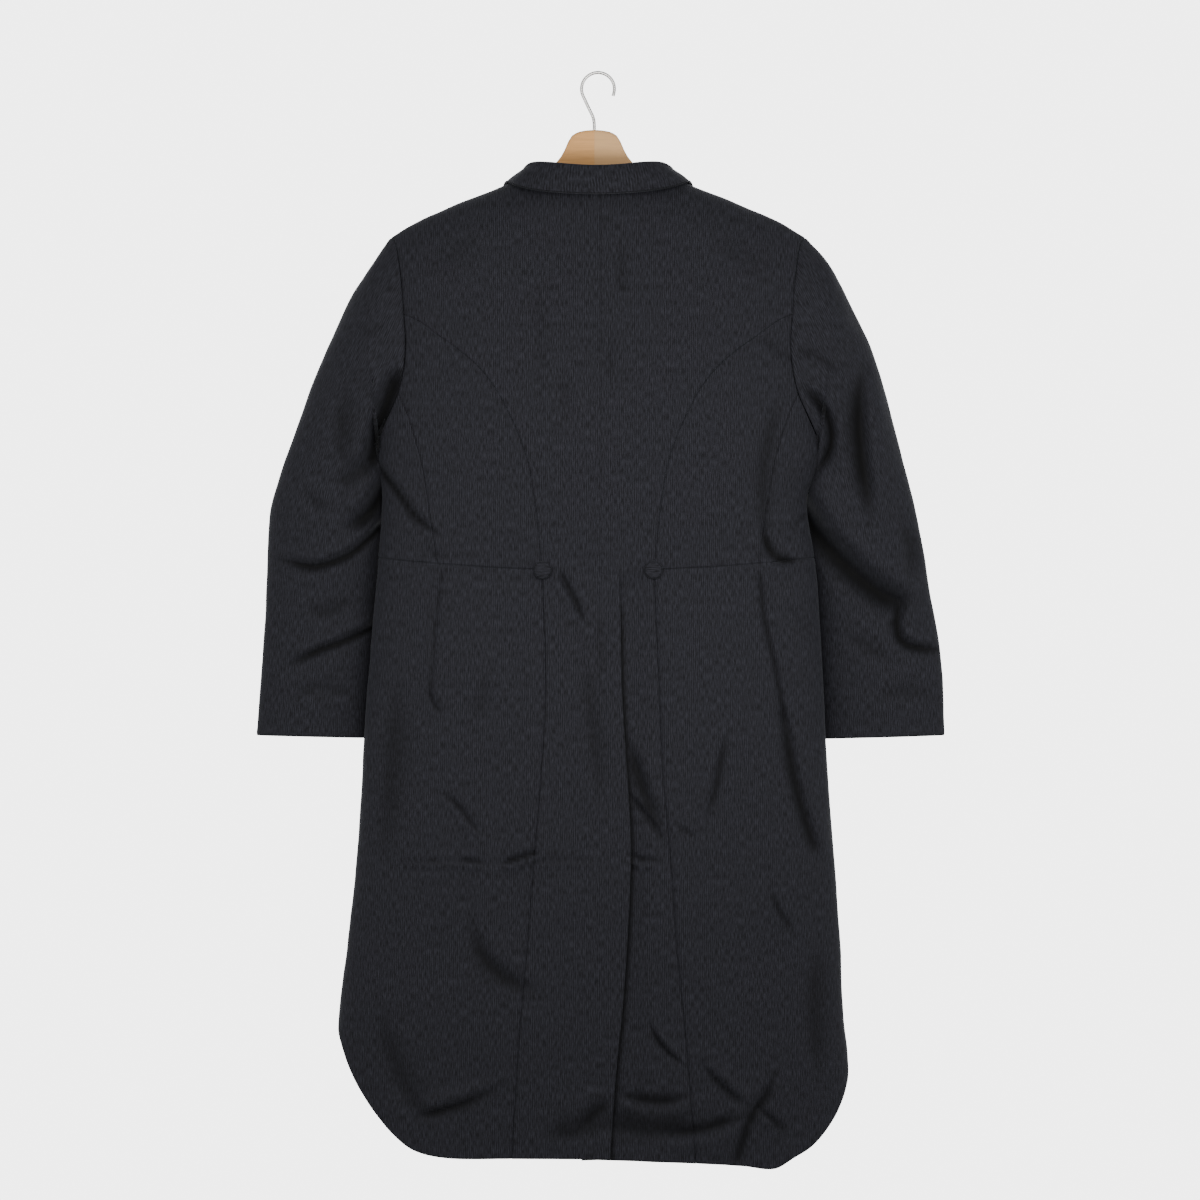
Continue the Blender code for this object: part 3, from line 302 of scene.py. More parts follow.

# Creases: a path of (x, drop) places, the trough's half width and depth, the roll beside it as a share of the
# depth (on the right of the path where it is above 0), and how deep the trough still is at its two ends
# Each crease also gets painted shade in and beside its trough, as dark as the crease is deep
Crease = namedtuple("Crease", "path width depth roll start end")
BACK_CREASES = [
    Crease([(-0.2420, 0.4300), (-0.2171, 0.4615), (-0.1968, 0.4885), (-0.1664, 0.5121)], 0.0052, 0.0085, -0.5, 0.8, 0.1),
    Crease([(-0.1960, 0.5140), (-0.1780, 0.5270), (-0.1563, 0.5357)], 0.0045, 0.0016, -0.5, 0.2, 0),
    Crease([(0.1743, 0.2860), (0.1912, 0.3029), (0.2114, 0.3164)], 0.0036, 0.0026, 0.5, 0, 0.6),
    Crease([(0.2020, 0.3440), (0.1878, 0.3873), (0.1777, 0.4379), (0.1800, 0.5000)], 0.0110, 0.0030, 0.3, 0, 0.6),
    Crease([(0.1790, 0.4950), (0.1840, 0.5200), (0.1960, 0.5350), (0.2150, 0.5370)], 0.0060, 0.0070, 0.4, 0.2, 0.5),
    Crease([(0.2013, 0.5189), (0.2148, 0.5020), (0.2216, 0.4919), (0.2290, 0.4860)], 0.0032, 0.0028, 0.6, 0, 0.8),
    Crease([(0.0259, 0.1747), (0.0225, 0.2186), (0.0276, 0.2624)], 0.0075, 0.0016, 0.3, 0.1, 0.1),
    Crease([(0.0141, 0.2759), (0.0107, 0.3198), (0.0124, 0.3535)], 0.0070, 0.0013, 0.3, 0.1, 0),
    Crease([(-0.0652, 0.2186), (-0.0670, 0.2725), (-0.0620, 0.3873)], 0.0100, 0.0010, 0.3, 0, 0),
    Crease([(-0.0360, 0.3200), (-0.0400, 0.3500), (-0.0360, 0.4000)], 0.0110, 0.0010, 0.3, 0, 0),
    Crease([(-0.1250, 0.1700), (-0.1550, 0.1950), (-0.1950, 0.2100)], 0.0150, 0.0012, 0.3, 0, 0.2),
    Crease([(0.1250, 0.1700), (0.1600, 0.1980), (0.1980, 0.2120)], 0.0150, 0.0012, -0.3, 0, 0.2),
    Crease([(-0.0400, 0.5540), (-0.0251, 0.5830), (-0.0134, 0.6111)], 0.0050, 0.0040, 0.5, 0.8, 0),
    Crease([(-0.0040, 0.5780), (0.0007, 0.6300), (-0.0017, 0.6910)], 0.0080, 0.0013, 0.3, 0, 0),
    Crease([(-0.1719, 0.5480), (-0.1785, 0.6064), (-0.1832, 0.6674), (-0.1846, 0.6820)], 0.0024, 0.0028, 0.6, 0.8, 0.9),
    Crease([(-0.1846, 0.6820), (-0.1790, 0.6950), (-0.1680, 0.7060)], 0.0034, 0.0036, 0.6, 0.8, 0),
    Crease([(-0.1353, 0.7518), (-0.0978, 0.7330), (-0.0603, 0.6908)], 0.0040, 0.0009, 0.5, 0, 0.2),
    Crease([(-0.1850, 0.7840), (-0.1588, 0.7987), (-0.1400, 0.8221), (-0.1240, 0.8380)], 0.0034, 0.0042, 0.6, 0, 0.1),
    Crease([(-0.2320, 0.8644), (-0.1900, 0.8644), (-0.1447, 0.8644)], 0.0024, 0.0018, 0.9, 0.3, 0.9),
    Crease([(-0.1500, 0.8640), (-0.1350, 0.8650), (-0.1189, 0.8685)], 0.0030, 0.0040, 0.9, 0.3, 0.1),
    Crease([(-0.1090, 0.8684), (-0.0884, 0.8620), (-0.0700, 0.8565)], 0.0034, 0.0055, 0.9, 0.2, 1),
    Crease([(-0.0670, 0.8640), (-0.0300, 0.8632), (0.0020, 0.8634)], 0.0024, 0.0022, 0.9, 0.8, 0.2),
    Crease([(0.0340, 0.8590), (0.0500, 0.8630), (0.0680, 0.8634)], 0.0034, 0.0036, 0.9, 0.5, 0.2),
    Crease([(0.0800, 0.8640), (0.1400, 0.8620), (0.2100, 0.8600)], 0.0020, 0.0006, 0.9, 0.5, 0.1),
    Crease([(0.0300, 0.7237), (0.0429, 0.7612), (0.0616, 0.8128), (0.0804, 0.8456)], 0.0090, 0.0046, -0.5, 0.1, 0),
    Crease([(0.0335, 0.7893), (0.0523, 0.8128), (0.0790, 0.8490)], 0.0036, 0.0042, -0.6, 0.3, 0.1),
    Crease([(0.1437, 0.7143), (0.1343, 0.7471), (0.1250, 0.7940), (0.1132, 0.8245)], 0.0050, 0.0042, 0.4, 0, 0.1),
    Crease([(0.0851, 0.8221), (0.0970, 0.8310), (0.1109, 0.8409)], 0.0034, 0.0028, -0.5, 0.1, 0.1),
    Crease([(0.1836, 0.8737), (0.1930, 0.9113), (0.2070, 0.9347), (0.2188, 0.9488)], 0.0038, 0.0040, 0.5, 0, 0),
    Crease([(-0.1420, 0.9060), (-0.1260, 0.9628), (-0.0978, 0.9910), (-0.0556, 1.0097)], 0.0110, 0.0046, -0.4, 0, 0.1),
    Crease([(-0.2057, 0.9558), (-0.1728, 0.9440), (-0.1447, 0.9206)], 0.0036, 0.0012, 0.5, 0, 0.1),
    Crease([(-0.2000, 1.1450), (-0.1822, 1.1387), (-0.1447, 1.1270), (-0.0960, 1.1030)], 0.0065, 0.0054, -1.1, 0.1, 0.1),
    Crease([(0.0500, 1.0300), (0.0710, 1.0660), (0.0945, 1.0871)], 0.0036, 0.0046, -0.6, 0, 0.2),
    Crease([(0.1040, 1.0720), (0.1367, 1.1090), (0.1648, 1.1330)], 0.0045, 0.0044, -1.0, 0, 0.2),
    Crease([(0.1680, 1.1300), (0.1930, 1.1504), (0.2094, 1.1669)], 0.0040, 0.0046, 0.6, 0.2, 0),
    Crease([(0.1977, 1.0848), (0.1836, 1.1176), (0.1648, 1.1458), (0.1508, 1.1880)], 0.0070, 0.0052, 0.5, 0, 0.8),
    Crease([(0.0300, 1.1220), (0.0560, 1.1280), (0.0804, 1.1270), (0.1086, 1.1176)], 0.0085, 0.0052, 0.6, 0.4, 0),
    Crease([(0.0600, 1.1640), (0.1086, 1.1600), (0.1555, 1.1458)], 0.0085, 0.0052, 0.5, 0.1, 0.4),
    Crease([(0.0100, 1.1270), (-0.0087, 1.1410), (-0.0275, 1.1690)], 0.0095, 0.0050, 0.4, 0.4, 0),
    Crease([(0.1775, 0.5480), (0.1836, 0.6017), (0.1953, 0.6533), (0.2047, 0.7096)], 0.0032, 0.0040, -0.7, 0.6, 0.9),
    Crease([(0.2040, 0.7000), (0.2164, 0.7752), (0.2352, 0.8409), (0.2440, 0.8600)], 0.0080, 0.0056, -0.6, 0.5, 0.1),
    Crease([(0.2023, 0.5783), (0.2211, 0.6017), (0.2399, 0.6252)], 0.0030, 0.0020, 0.5, 0.1, 0.2),
    Crease([(-0.2450, 1.0100), (-0.2250, 1.0900), (-0.1900, 1.1500)], 0.0160, 0.0026, 0.3, 0, 0.3),
    Crease([(0.2420, 0.9400), (0.2330, 1.0200), (0.2380, 1.1000)], 0.0160, 0.0030, 0.3, 0, 0.3),
    Crease([(-0.2200, 0.6400), (-0.2300, 0.7600), (-0.2400, 0.9000)], 0.0180, 0.0026, 0.3, 0, 0),
    Crease([(-0.0190, 0.6200), (-0.0072, 0.7300), (0.0045, 0.8236)], 0.0120, 0.0020, 0.3, 0.1, 0),
    Crease([(0.0040, 1.1520), (0.0600, 1.1600), (0.1250, 1.1500)], 0.0200, 0.0040, 0.2, 0.4, 0.1),
    Crease([(-0.0650, 1.1650), (-0.0300, 1.1620), (0.0010, 1.1560)], 0.0160, 0.0034, 0.2, 0, 0.6),
    Crease([(-0.1400, 0.7200), (-0.1250, 0.6900), (-0.1180, 0.6500)], 0.0110, 0.0014, 0.4, 0, 0),
]
FRONT_CREASES = [
    Crease([(-0.2360, 0.4420), (-0.1800, 0.4750), (-0.1200, 0.5050)], 0.0090, 0.0034, -0.5, 1, 0),
    Crease([(0.2300, 0.4420), (0.1750, 0.4720), (0.1250, 0.5080)], 0.0090, 0.0034, 0.5, 1, 0),
    Crease([(-0.1850, 0.5900), (-0.2050, 0.7200), (-0.2150, 0.8400)], 0.0160, 0.0045, 0.4, 0, 0.3),
    Crease([(0.1750, 0.5900), (0.1900, 0.7200), (0.2000, 0.8400)], 0.0160, 0.0045, -0.4, 0, 0.3),
    Crease([(-0.1000, 0.5800), (-0.1350, 0.6600), (-0.1600, 0.7600)], 0.0120, 0.0028, 0.4, 0, 0),
    Crease([(0.0950, 0.5800), (0.1250, 0.6600), (0.1500, 0.7600)], 0.0120, 0.0028, -0.4, 0, 0),
    Crease([(-0.2050, 0.2600), (-0.1750, 0.3300), (-0.1700, 0.4000)], 0.0130, 0.0030, 0.4, 0.2, 0),
    Crease([(0.2050, 0.2600), (0.1750, 0.3300), (0.1700, 0.4000)], 0.0130, 0.0030, -0.4, 0.2, 0),
]
SLEEVE_CREASES = {
    (-1, "back"): [
        Crease([(-0.2170, 0.3230), (-0.2270, 0.3440), (-0.2390, 0.3780), (-0.2500, 0.4220)], 0.0120, 0.0140, 0.35, 0.2, 1),
        # A shallow trough along the body's edge, there mostly for its painted shade: the body's shadow on the sleeve
        Crease([(-0.2450, 0.5300), (-0.2510, 0.6200), (-0.2570, 0.7300)], 0.0120, 0.0012, 0.2, 0.3, 1),
        Crease([(-0.2500, 0.4280), (-0.2706, 0.4404), (-0.2952, 0.4568)], 0.0110, 0.0036, 0.4, 0.6, 0),
        Crease([(-0.2380, 0.4580), (-0.2542, 0.4830), (-0.2820, 0.5050)], 0.0110, 0.0100, 0.5, 1, 0),
        Crease([(-0.3520, 0.5330), (-0.3300, 0.5380), (-0.3090, 0.5405), (-0.2748, 0.5287), (-0.2521, 0.5102),
                (-0.2400, 0.4970)], 0.0058, 0.0078, -0.6, 0.3, 1),
        Crease([(-0.3445, 0.6518), (-0.3116, 0.6350), (-0.2748, 0.6211), (-0.2500, 0.6087)], 0.0052, 0.0070, -0.6, 0.2, 1),
        Crease([(-0.2600, 0.2350), (-0.2800, 0.2480), (-0.2900, 0.2700)], 0.0090, 0.0030, 0.4, 0, 0.3),
        Crease([(-0.2750, 0.3300), (-0.2850, 0.3900), (-0.2800, 0.4500)], 0.0150, 0.0026, 0.4, 0, 0),
        Crease([(-0.2700, 0.2740), (-0.2480, 0.2860), (-0.2260, 0.2700)], 0.0060, 0.0016, 0.4, 0, 0),
        Crease([(-0.3300, 0.4500), (-0.3100, 0.4750), (-0.2900, 0.4820)], 0.0080, 0.0022, 0.5, 0, 0),
        Crease([(-0.3300, 0.5850), (-0.3000, 0.5950), (-0.2650, 0.5800)], 0.0100, 0.0024, 0.5, 0, 0.3),
        Crease([(-0.3450, 0.6900), (-0.3100, 0.6780), (-0.2700, 0.6850)], 0.0110, 0.0018, 0.4, 0, 0.3),
    ],
    (1, "back"): [
        Crease([(0.2222, 0.3069), (0.2380, 0.3130), (0.2552, 0.3234), (0.2753, 0.3315)], 0.0050, 0.0030, 0.5, 0.8, 0),
        Crease([(0.2250, 0.3440), (0.2383, 0.3562), (0.2527, 0.3767), (0.2580, 0.4014), (0.2527, 0.4220),
                (0.2404, 0.4383)], 0.0062, 0.0088, -0.5, 0.3, 0.4),
        Crease([(0.2979, 0.3152), (0.2896, 0.3439), (0.2884, 0.3850), (0.2917, 0.4260), (0.2979, 0.4671),
                (0.3007, 0.5000)], 0.0122, 0.0104, -0.5, 0.1, 0.1),
        Crease([(0.2230, 0.4760), (0.2321, 0.4876), (0.2486, 0.5102), (0.2794, 0.5431), (0.3122, 0.5697),
                (0.3328, 0.5780)], 0.0160, 0.0185, -0.5, 1, 0.6),
        Crease([(0.3328, 0.5780), (0.3307, 0.6108), (0.3410, 0.6272), (0.3762, 0.6330)], 0.0066, 0.0078, -0.6, 0.6, 0.5),
        Crease([(0.2700, 0.2450), (0.2850, 0.2700), (0.2900, 0.2950)], 0.0120, 0.0026, 0.4, 0, 0),
        Crease([(0.2560, 0.2460), (0.2750, 0.2400), (0.2820, 0.2160)], 0.0060, 0.0015, 0.4, 0, 0),
        Crease([(0.3300, 0.4800), (0.3420, 0.5250), (0.3400, 0.5650)], 0.0120, 0.0030, 0.4, 0, 0),
        Crease([(0.2700, 0.6200), (0.3000, 0.6350), (0.3300, 0.6550)], 0.0110, 0.0020, 0.4, 0.2, 0),
        Crease([(0.3050, 0.7000), (0.3300, 0.6820), (0.3650, 0.6880)], 0.0110, 0.0018, 0.4, 0, 0.3),
    ],
    (-1, "front"): [
        Crease([(-0.2500, 0.5000), (-0.2900, 0.5250), (-0.3500, 0.5150)], 0.0080, 0.0070, 0.5, 0.8, 0.3),
        Crease([(-0.2550, 0.5500), (-0.2950, 0.5700), (-0.3350, 0.5650)], 0.0080, 0.0055, 0.5, 0.8, 0),
        Crease([(-0.2700, 0.2600), (-0.2600, 0.3400), (-0.2700, 0.4200)], 0.0140, 0.0045, 0.4, 0, 0),
        Crease([(-0.2750, 0.6250), (-0.3100, 0.6400), (-0.3500, 0.6300)], 0.0070, 0.0040, 0.5, 0.5, 0),
        Crease([(-0.3050, 0.3300), (-0.2950, 0.3900), (-0.3050, 0.4500)], 0.0110, 0.0035, -0.4, 0, 0),
    ],
    (1, "front"): [
        Crease([(0.2450, 0.5000), (0.2850, 0.5250), (0.3500, 0.5200)], 0.0080, 0.0070, -0.5, 0.8, 0.3),
        Crease([(0.2500, 0.5550), (0.2900, 0.5800), (0.3400, 0.5700)], 0.0080, 0.0055, -0.5, 0.8, 0),
        Crease([(0.2700, 0.2600), (0.2620, 0.3400), (0.2750, 0.4200)], 0.0140, 0.0045, -0.4, 0, 0),
        Crease([(0.2650, 0.6350), (0.3050, 0.6500), (0.3500, 0.6420)], 0.0070, 0.0040, -0.5, 0.5, 0),
        Crease([(0.3000, 0.3500), (0.2900, 0.4050), (0.3000, 0.4700)], 0.0110, 0.0035, 0.4, 0, 0),
    ],
}
RIPPLES = [(9.0, 0.0016), (22.0, 0.0008), (55.0, 0.00030)]
CREASE_REACH = 3.6
CREASE_STEPS = 3
CREASE_STEEP = 0.62
# A crease this deep gets its full painted shade
FOLD_PAINTED_SHADE_DEPTH = 0.0064
# Shade painted in a thin line along sewn and folded edges, and less of it on the bodice's flat seams
SEAM_PAINTED_SHADE_REACH = 0.0010
SEAM_PAINTED_SHADE = 0.55
FLAT_SEAM_PAINTED_SHADE = 0.22
FLAT_SEAMS_OUT = 0.190

# Marks beside a sewn or folded edge, where the grid is close enough to roll the cloth in
EDGE_MARKS = (0.0, 0.0005, 0.0011, 0.0018, 0.0030, 0.0048, 0.0072)
ROLL_REACH = 0.0020
ROLL_DEPTH = 0.0009
WELT_FROM_EDGE = 0.0046
WELT_WIDTH = 0.0024
WELT_HEIGHT = 0.00022

# Buttons
BUTTON_PLACES = {"waist_button_left": -1, "waist_button_right": 1}
BACK_BUTTON_OUT = 0.0605
BUTTON_RIM_PAINTED_SHADE = 0.75

# Hanger, as half an outline: distance out, top drop, bottom drop and half thickness
Bar = namedtuple("Bar", "out top bottom half")
HANGER_MIDDLE_X = -0.004
HANGER_BAR = [
    Bar(0.000, 0.0616, 0.1260, 0.0085),
    Bar(0.009, 0.0622, 0.1262, 0.0085),
    Bar(0.0168, 0.0637, 0.1268, 0.0085),
    Bar(0.0235, 0.0670, 0.1278, 0.0085),
    Bar(0.0275, 0.0715, 0.1286, 0.0085),
    Bar(0.0312, 0.0805, 0.1296, 0.0085),
    Bar(0.0366, 0.0906, 0.1311, 0.0085),
    Bar(0.0428, 0.0982, 0.1328, 0.0085),
    Bar(0.050, 0.1045, 0.1348, 0.0088),
    Bar(0.058, 0.1100, 0.1370, 0.0090),
    Bar(0.074, 0.1150, 0.1425, 0.0085),
    Bar(0.100, 0.1257, 0.1525, 0.0095),
    Bar(0.130, 0.1384, 0.1650, 0.0110),
    Bar(0.160, 0.1516, 0.1775, 0.0120),
    Bar(0.185, 0.1628, 0.1875, 0.0120),
    Bar(0.198, 0.1700, 0.1890, 0.0100),
    Bar(0.203, 0.1770, 0.1860, 0.0050),
]
JOINT_WIDTH = 0.0004
HOOK_WIRE = 0.0018
HOOK_INSIDE = 0.0165
HOOK_SUNK = 0.0003
HOOK_OPEN_DEGREES = -25

# Photograph: its frame, how many metres a pixel is, and the pixel that the origin lies on
FRAME_PIXELS = 1200
METRES_A_PIXEL = 0.0011
ORIGIN_PIXEL = (598, 74)
CAMERA_DISTANCE = 7.0
SENSOR = 0.036
FLOOR_DROP = 1.62


class ClothSettings(bpy.types.PropertyGroup):
    """Sizes and colours of the suiting"""

    thickness: bpy.props.FloatProperty(
        name="Thickness", description="Thickness of the cloth with its backing", default=0.0020, unit="LENGTH"
    )
    step: bpy.props.FloatProperty(
        name="Grid step", description="Distance between the mesh's lines", default=0.0032, unit="LENGTH"
    )
    stripe: bpy.props.FloatProperty(
        name="Stripe", description="Distance between the self-stripes", default=0.0024, unit="LENGTH"
    )
    ground: bpy.props.FloatVectorProperty(
        name="Ground", description="Colour of the dark threads", subtype="COLOR", default=(0.0045, 0.0045, 0.0060)
    )
    light: bpy.props.FloatVectorProperty(
        name="Light thread", description="Colour of the light threads", subtype="COLOR", default=(0.0224, 0.0228, 0.0298)
    )


class ButtonSettings(bpy.types.PropertyGroup):
    """Sizes of the covered buttons"""

    radius: bpy.props.FloatProperty(
        name="Radius", description="Radius of a covered button", default=0.0100, unit="LENGTH"
    )
    height: bpy.props.FloatProperty(
        name="Height", description="Height of a covered button", default=0.0052, unit="LENGTH"
    )


class HangerSettings(bpy.types.PropertyGroup):
    """Colours of the hanger and its hook"""

    wood: bpy.props.FloatVectorProperty(
        name="Wood", description="Colour of the wood", subtype="COLOR", default=(0.72, 0.385, 0.142)
    )
    other_half: bpy.props.FloatVectorProperty(
        name="Other half", description="Colour of the wood's other half", subtype="COLOR", default=(0.62, 0.42, 0.228)
    )
    grain: bpy.props.FloatVectorProperty(
        name="Grain", description="Colour of the wood's grain", subtype="COLOR", default=(0.55, 0.285, 0.105)
    )
    wire: bpy.props.FloatVectorProperty(
        name="Wire", description="Colour of the hook", subtype="COLOR", default=(0.62, 0.61, 0.59)
    )


def cloth():
    return bpy.context.scene.tailcoat_cloth


def sample(rows, at, column):
    """A column's value between a table's rows, on a smooth curve through them."""
    if at <= rows[0][0]:
        return getattr(rows[0], column)
    if at >= rows[-1][0]:
        return getattr(rows[-1], column)
    k = 0
    while rows[k + 1][0] <= at:
        k += 1
    span = rows[k + 1][0] - rows[k][0]
    t = (at - rows[k][0]) / span
    low, high = getattr(rows[k], column), getattr(rows[k + 1], column)
    before, after = rows[max(k - 1, 0)], rows[min(k + 2, len(rows) - 1)]
    start = (high - getattr(before, column)) / (rows[k + 1][0] - before[0])
    end = (getattr(after, column) - low) / (after[0] - rows[k][0])
    return (
        (1 + 2 * t) * (1 - t) ** 2 * low
        + t * (1 - t) ** 2 * span * start
        + t * t * (3 - 2 * t) * high
        + t * t * (t - 1) * span * end
    )


def ease(low, high, at):
    """0 at low, 1 at high, smooth between."""
    t = min(1.0, max(0.0, (at - low) / (high - low)))
    return t * t * (3 - 2 * t)


def bend(points, at):
    """A place on a smooth curve through evenly numbered points."""
    k = min(int(at), len(points) - 2)
    t = at - k
    first, second = points[k], points[k + 1]
    before = points[k - 1] if k else first * 2 - second
    after = points[k + 2] if k + 2 < len(points) else second * 2 - first
    return (
        first * (2 - 5 * t * t + 3 * t**3)
        + before * (-t + 2 * t * t - t**3)
        + second * (t + 4 * t * t - 3 * t**3)
        + after * (-t * t + t**3)
    ) / 2


def nearest(places, point):
    """How far a point is from the nearest of some places."""
    return min((point - place).length for place in places)


def side_name(side):
    return "right" if side > 0 else "left"


def half_width(side, drop):
    return sample(SECTIONS, drop, side_name(side))


def form_point(side, angle, drop):
    """A point of the torso form. The angle goes from the middle of the back round to the front."""
    share = math.sin(angle)
    back = math.cos(angle) > 0
    x = side * half_width(side, drop) * share
    below = (drop - sample(SHOULDER, abs(x), "drop")) / SHOULDER_ROUND
    below = min(1.0, max(0.0, below))
    depth = sample(SECTIONS, drop, "back" if back else "front") * (1 + SECTION_FULLNESS * share * share)
    depth *= abs(math.cos(angle)) * math.sqrt(1 - (1 - below) ** 2)
    return Vector((x, -depth if back else depth, -drop))


def angle_on(side, out, drop, front=False):
    """The angle of a place that lies this far out from the middle, towards its own side."""
    angle = math.asin(max(-1.0, min(1.0, out / half_width(side, drop))))
    return PI - angle if front else angle


def arc(side, angle, drop):
    """Roughly how far round the body an angle is, in metres, for the cloth's pattern."""
    width = half_width(side, drop)
    across = width * (math.sin(angle) if angle < PI / 2 else 2 - math.sin(angle))
    return side * (across + ARC_SHARE * 0.055 * (1 - math.cos(angle)) * (1 if angle > 0 else -1))


def waist_drop(angle):
    rise = WAIST_SIDE_RISE * math.sin(angle) ** 2
    dip = WAIST_FRONT_DIP * math.cos(angle) ** 2 if math.cos(angle) < 0 else 0
    return WAIST_DROP - rise + dip


def neckline_drop(out):
    """The back's neckline, from the nape up to the shoulder."""
    return NAPE_DROP + (NECK_DROP - NAPE_DROP) * min(1.0, out / NECK_OUT) ** 2


def armhole_angle(side, drop, front):
    if drop >= ARM_BOTTOM:
        return PI / 2
    out = sample(ARMHOLE, drop, "out")
    if front:
        out -= FRONT_SCOOP * math.sin(PI * (drop - ARM_TOP) / (ARM_BOTTOM - ARM_TOP))
    return angle_on(side, out, drop, front)


def roll_out(drop):
    """The front edge of a forepart: the roll line, and then the overlap."""
    share = min(1.0, (drop - ROLL_TOP_DROP) / (BREAK_DROP - ROLL_TOP_DROP))
    return (NECK_OUT - 0.002) * (1 - share) - FRONT_OVERLAP * share


def drawn(creases):
    """Each crease with its smooth path and the box of x and drop that it is felt in."""
    found = []
    for crease in creases:
        places = [Vector(place) for place in crease.path]
        count = (len(places) - 1) * CREASE_STEPS
        path = [bend(places, k / CREASE_STEPS) for k in range(count + 1)]
        reach = crease.width * CREASE_REACH
        box = [edge(place[axis] for place in path) for axis in (0, 1) for edge in (min, max)]
        found.append((crease, path, box[0] - reach, box[1] + reach, box[2] - reach, box[3] + reach))
    return found


def crease_relief(creases, x, drop):
    """How far the cloth stands in (below 0) or out because of its creases, and how much shade is painted on it for how
    deep in a fold it is.
    """
    total = fold = 0.0
    for crease, path, left, right, top, bottom in creases:
        if not (left < x < right and top < drop < bottom):
            continue
        best, signed, place, past = 1.0, 1.0, 0.0, 0.0
        count = len(path) - 1
        for k in range(count):
            run_x, run_drop = path[k + 1] - path[k]
            away_x, away_drop = x - path[k].x, drop - path[k].y
            length = math.hypot(run_x, run_drop)
            along = (away_x * run_x + away_drop * run_drop) / length
            held = min(length, max(0.0, along))
            distance = math.hypot(away_x - run_x * held / length, away_drop - run_drop * held / length)
            if distance < best:
                best = distance
                place = (k + held / length) / count
                past = max(-along if k == 0 else 0.0, along - length if k == count - 1 else 0.0)
                signed = math.copysign(math.sqrt(max(0.0, best**2 - past**2)), away_drop * run_x - away_x * run_drop)
        fade = min(1.0, crease.start + 2.4 * place) * min(1.0, crease.end + 2.4 * (1 - place))
        fade = fade * fade * (3 - 2 * fade)
        slim = crease.width * (0.45 + 0.55 * fade)
        beyond = math.exp(-((max(0.0, past) / slim) ** 2))
        across = signed / slim * math.copysign(1, crease.roll)
        steep = CREASE_STEEP if across > 0 else 1.0
        trough = math.exp(-((across / steep) ** 2))
        ridge = abs(crease.roll) * math.exp(-(((across - 1.5) / 1.1) ** 2))
        total += crease.depth * fade * beyond * (ridge - trough)
        # Painted shade for the fold: darkest just beside the trough's middle, away from the ridge, and fading along the
        # path like the trough
        shaded = math.exp(-(((across + 0.2) / (0.55 if across > -0.2 else 0.85)) ** 2))
        fold = max(fold, min(1.0, crease.depth / FOLD_PAINTED_SHADE_DEPTH) * fade * beyond * shaded)
    return total, fold


def ripples(point):
    """The low unevenness that any hung cloth has."""
    total = 0.0
    for scale, height in RIPPLES:
        total += height * noise.noise(point * scale + Vector((scale, 3.1, 7.7)))
    return total


def marks(length, step, low=True, high=True):
    """Shares along a length: a step apart, and close together beside an edge that is rolled in."""
    edge = [mark for mark in EDGE_MARKS if mark < length * 0.45]
    start = edge if low else [0.0]
    end = [length - mark for mark in reversed(edge)] if high else [length]
    count = max(1, math.ceil((end[0] - start[-1]) / step))
    middle = [start[-1] + (end[0] - start[-1]) * k / count for k in range(1, count)]
    return [mark / length for mark in start + middle + end]


def add_grid(bm, columns, rows, place, pattern):
    """Adds a grid whose vertices are laid where place(column, row) says, and notes the cloth's own measure."""
    made = bmesh.ops.create_grid(bm, x_segments=len(columns) - 1, y_segments=len(rows) - 1, size=0.5)
    measure = bm.loops.layers.uv.verify()
    for vertex in made["verts"]:
        column = columns[round((vertex.co.x + 0.5) * (len(columns) - 1))]
        row = rows[round((0.5 - vertex.co.y) * (len(rows) - 1))]
        vertex.co = place(column, row)
        across = pattern(column, row, vertex.co)
        for loop in vertex.link_loops:
            loop[measure].uv = across


def seam_painted_shade(point):
    """How much shade is painted on a seam's line: the bodice's own seams are pressed flat and hardly show."""
    flat = -point.z < WAIST_DROP - 0.004 and abs(point.x) < FLAT_SEAMS_OUT and -point.z > NAPE_DROP + 0.010
    return FLAT_SEAM_PAINTED_SHADE if flat else SEAM_PAINTED_SHADE


def roll_edges(bm, edges, painted_shade_layer):
    """Rolls these edges in, with a low welt beside them, as a sewn or folded edge has, and paints a thin line of shade
    along them.
    """
    tree = kdtree.KDTree(len(edges))
    for k, vertex in enumerate(edges):
        tree.insert(vertex.co, k)
    tree.balance()
    bm.normal_update()
    moves = []
    for vertex in bm.verts:
        distance = tree.find(vertex.co)[2]
        if distance < WELT_FROM_EDGE + 3 * WELT_WIDTH:
            turned = max(0.0, 1 - distance / ROLL_REACH) ** 2 * ROLL_DEPTH
            welt = WELT_HEIGHT * math.exp(-(((distance - WELT_FROM_EDGE) / WELT_WIDTH) ** 2))
            moves.append((vertex, vertex.normal * (welt - turned)))
            # Painted shade along the edge's line
            painted_seam_shade = seam_painted_shade(vertex.co) * max(0.0, 1 - distance / SEAM_PAINTED_SHADE_REACH)
            vertex[painted_shade_layer] = max(vertex[painted_shade_layer], painted_seam_shade)
    for vertex, move in moves:
        vertex.co += move


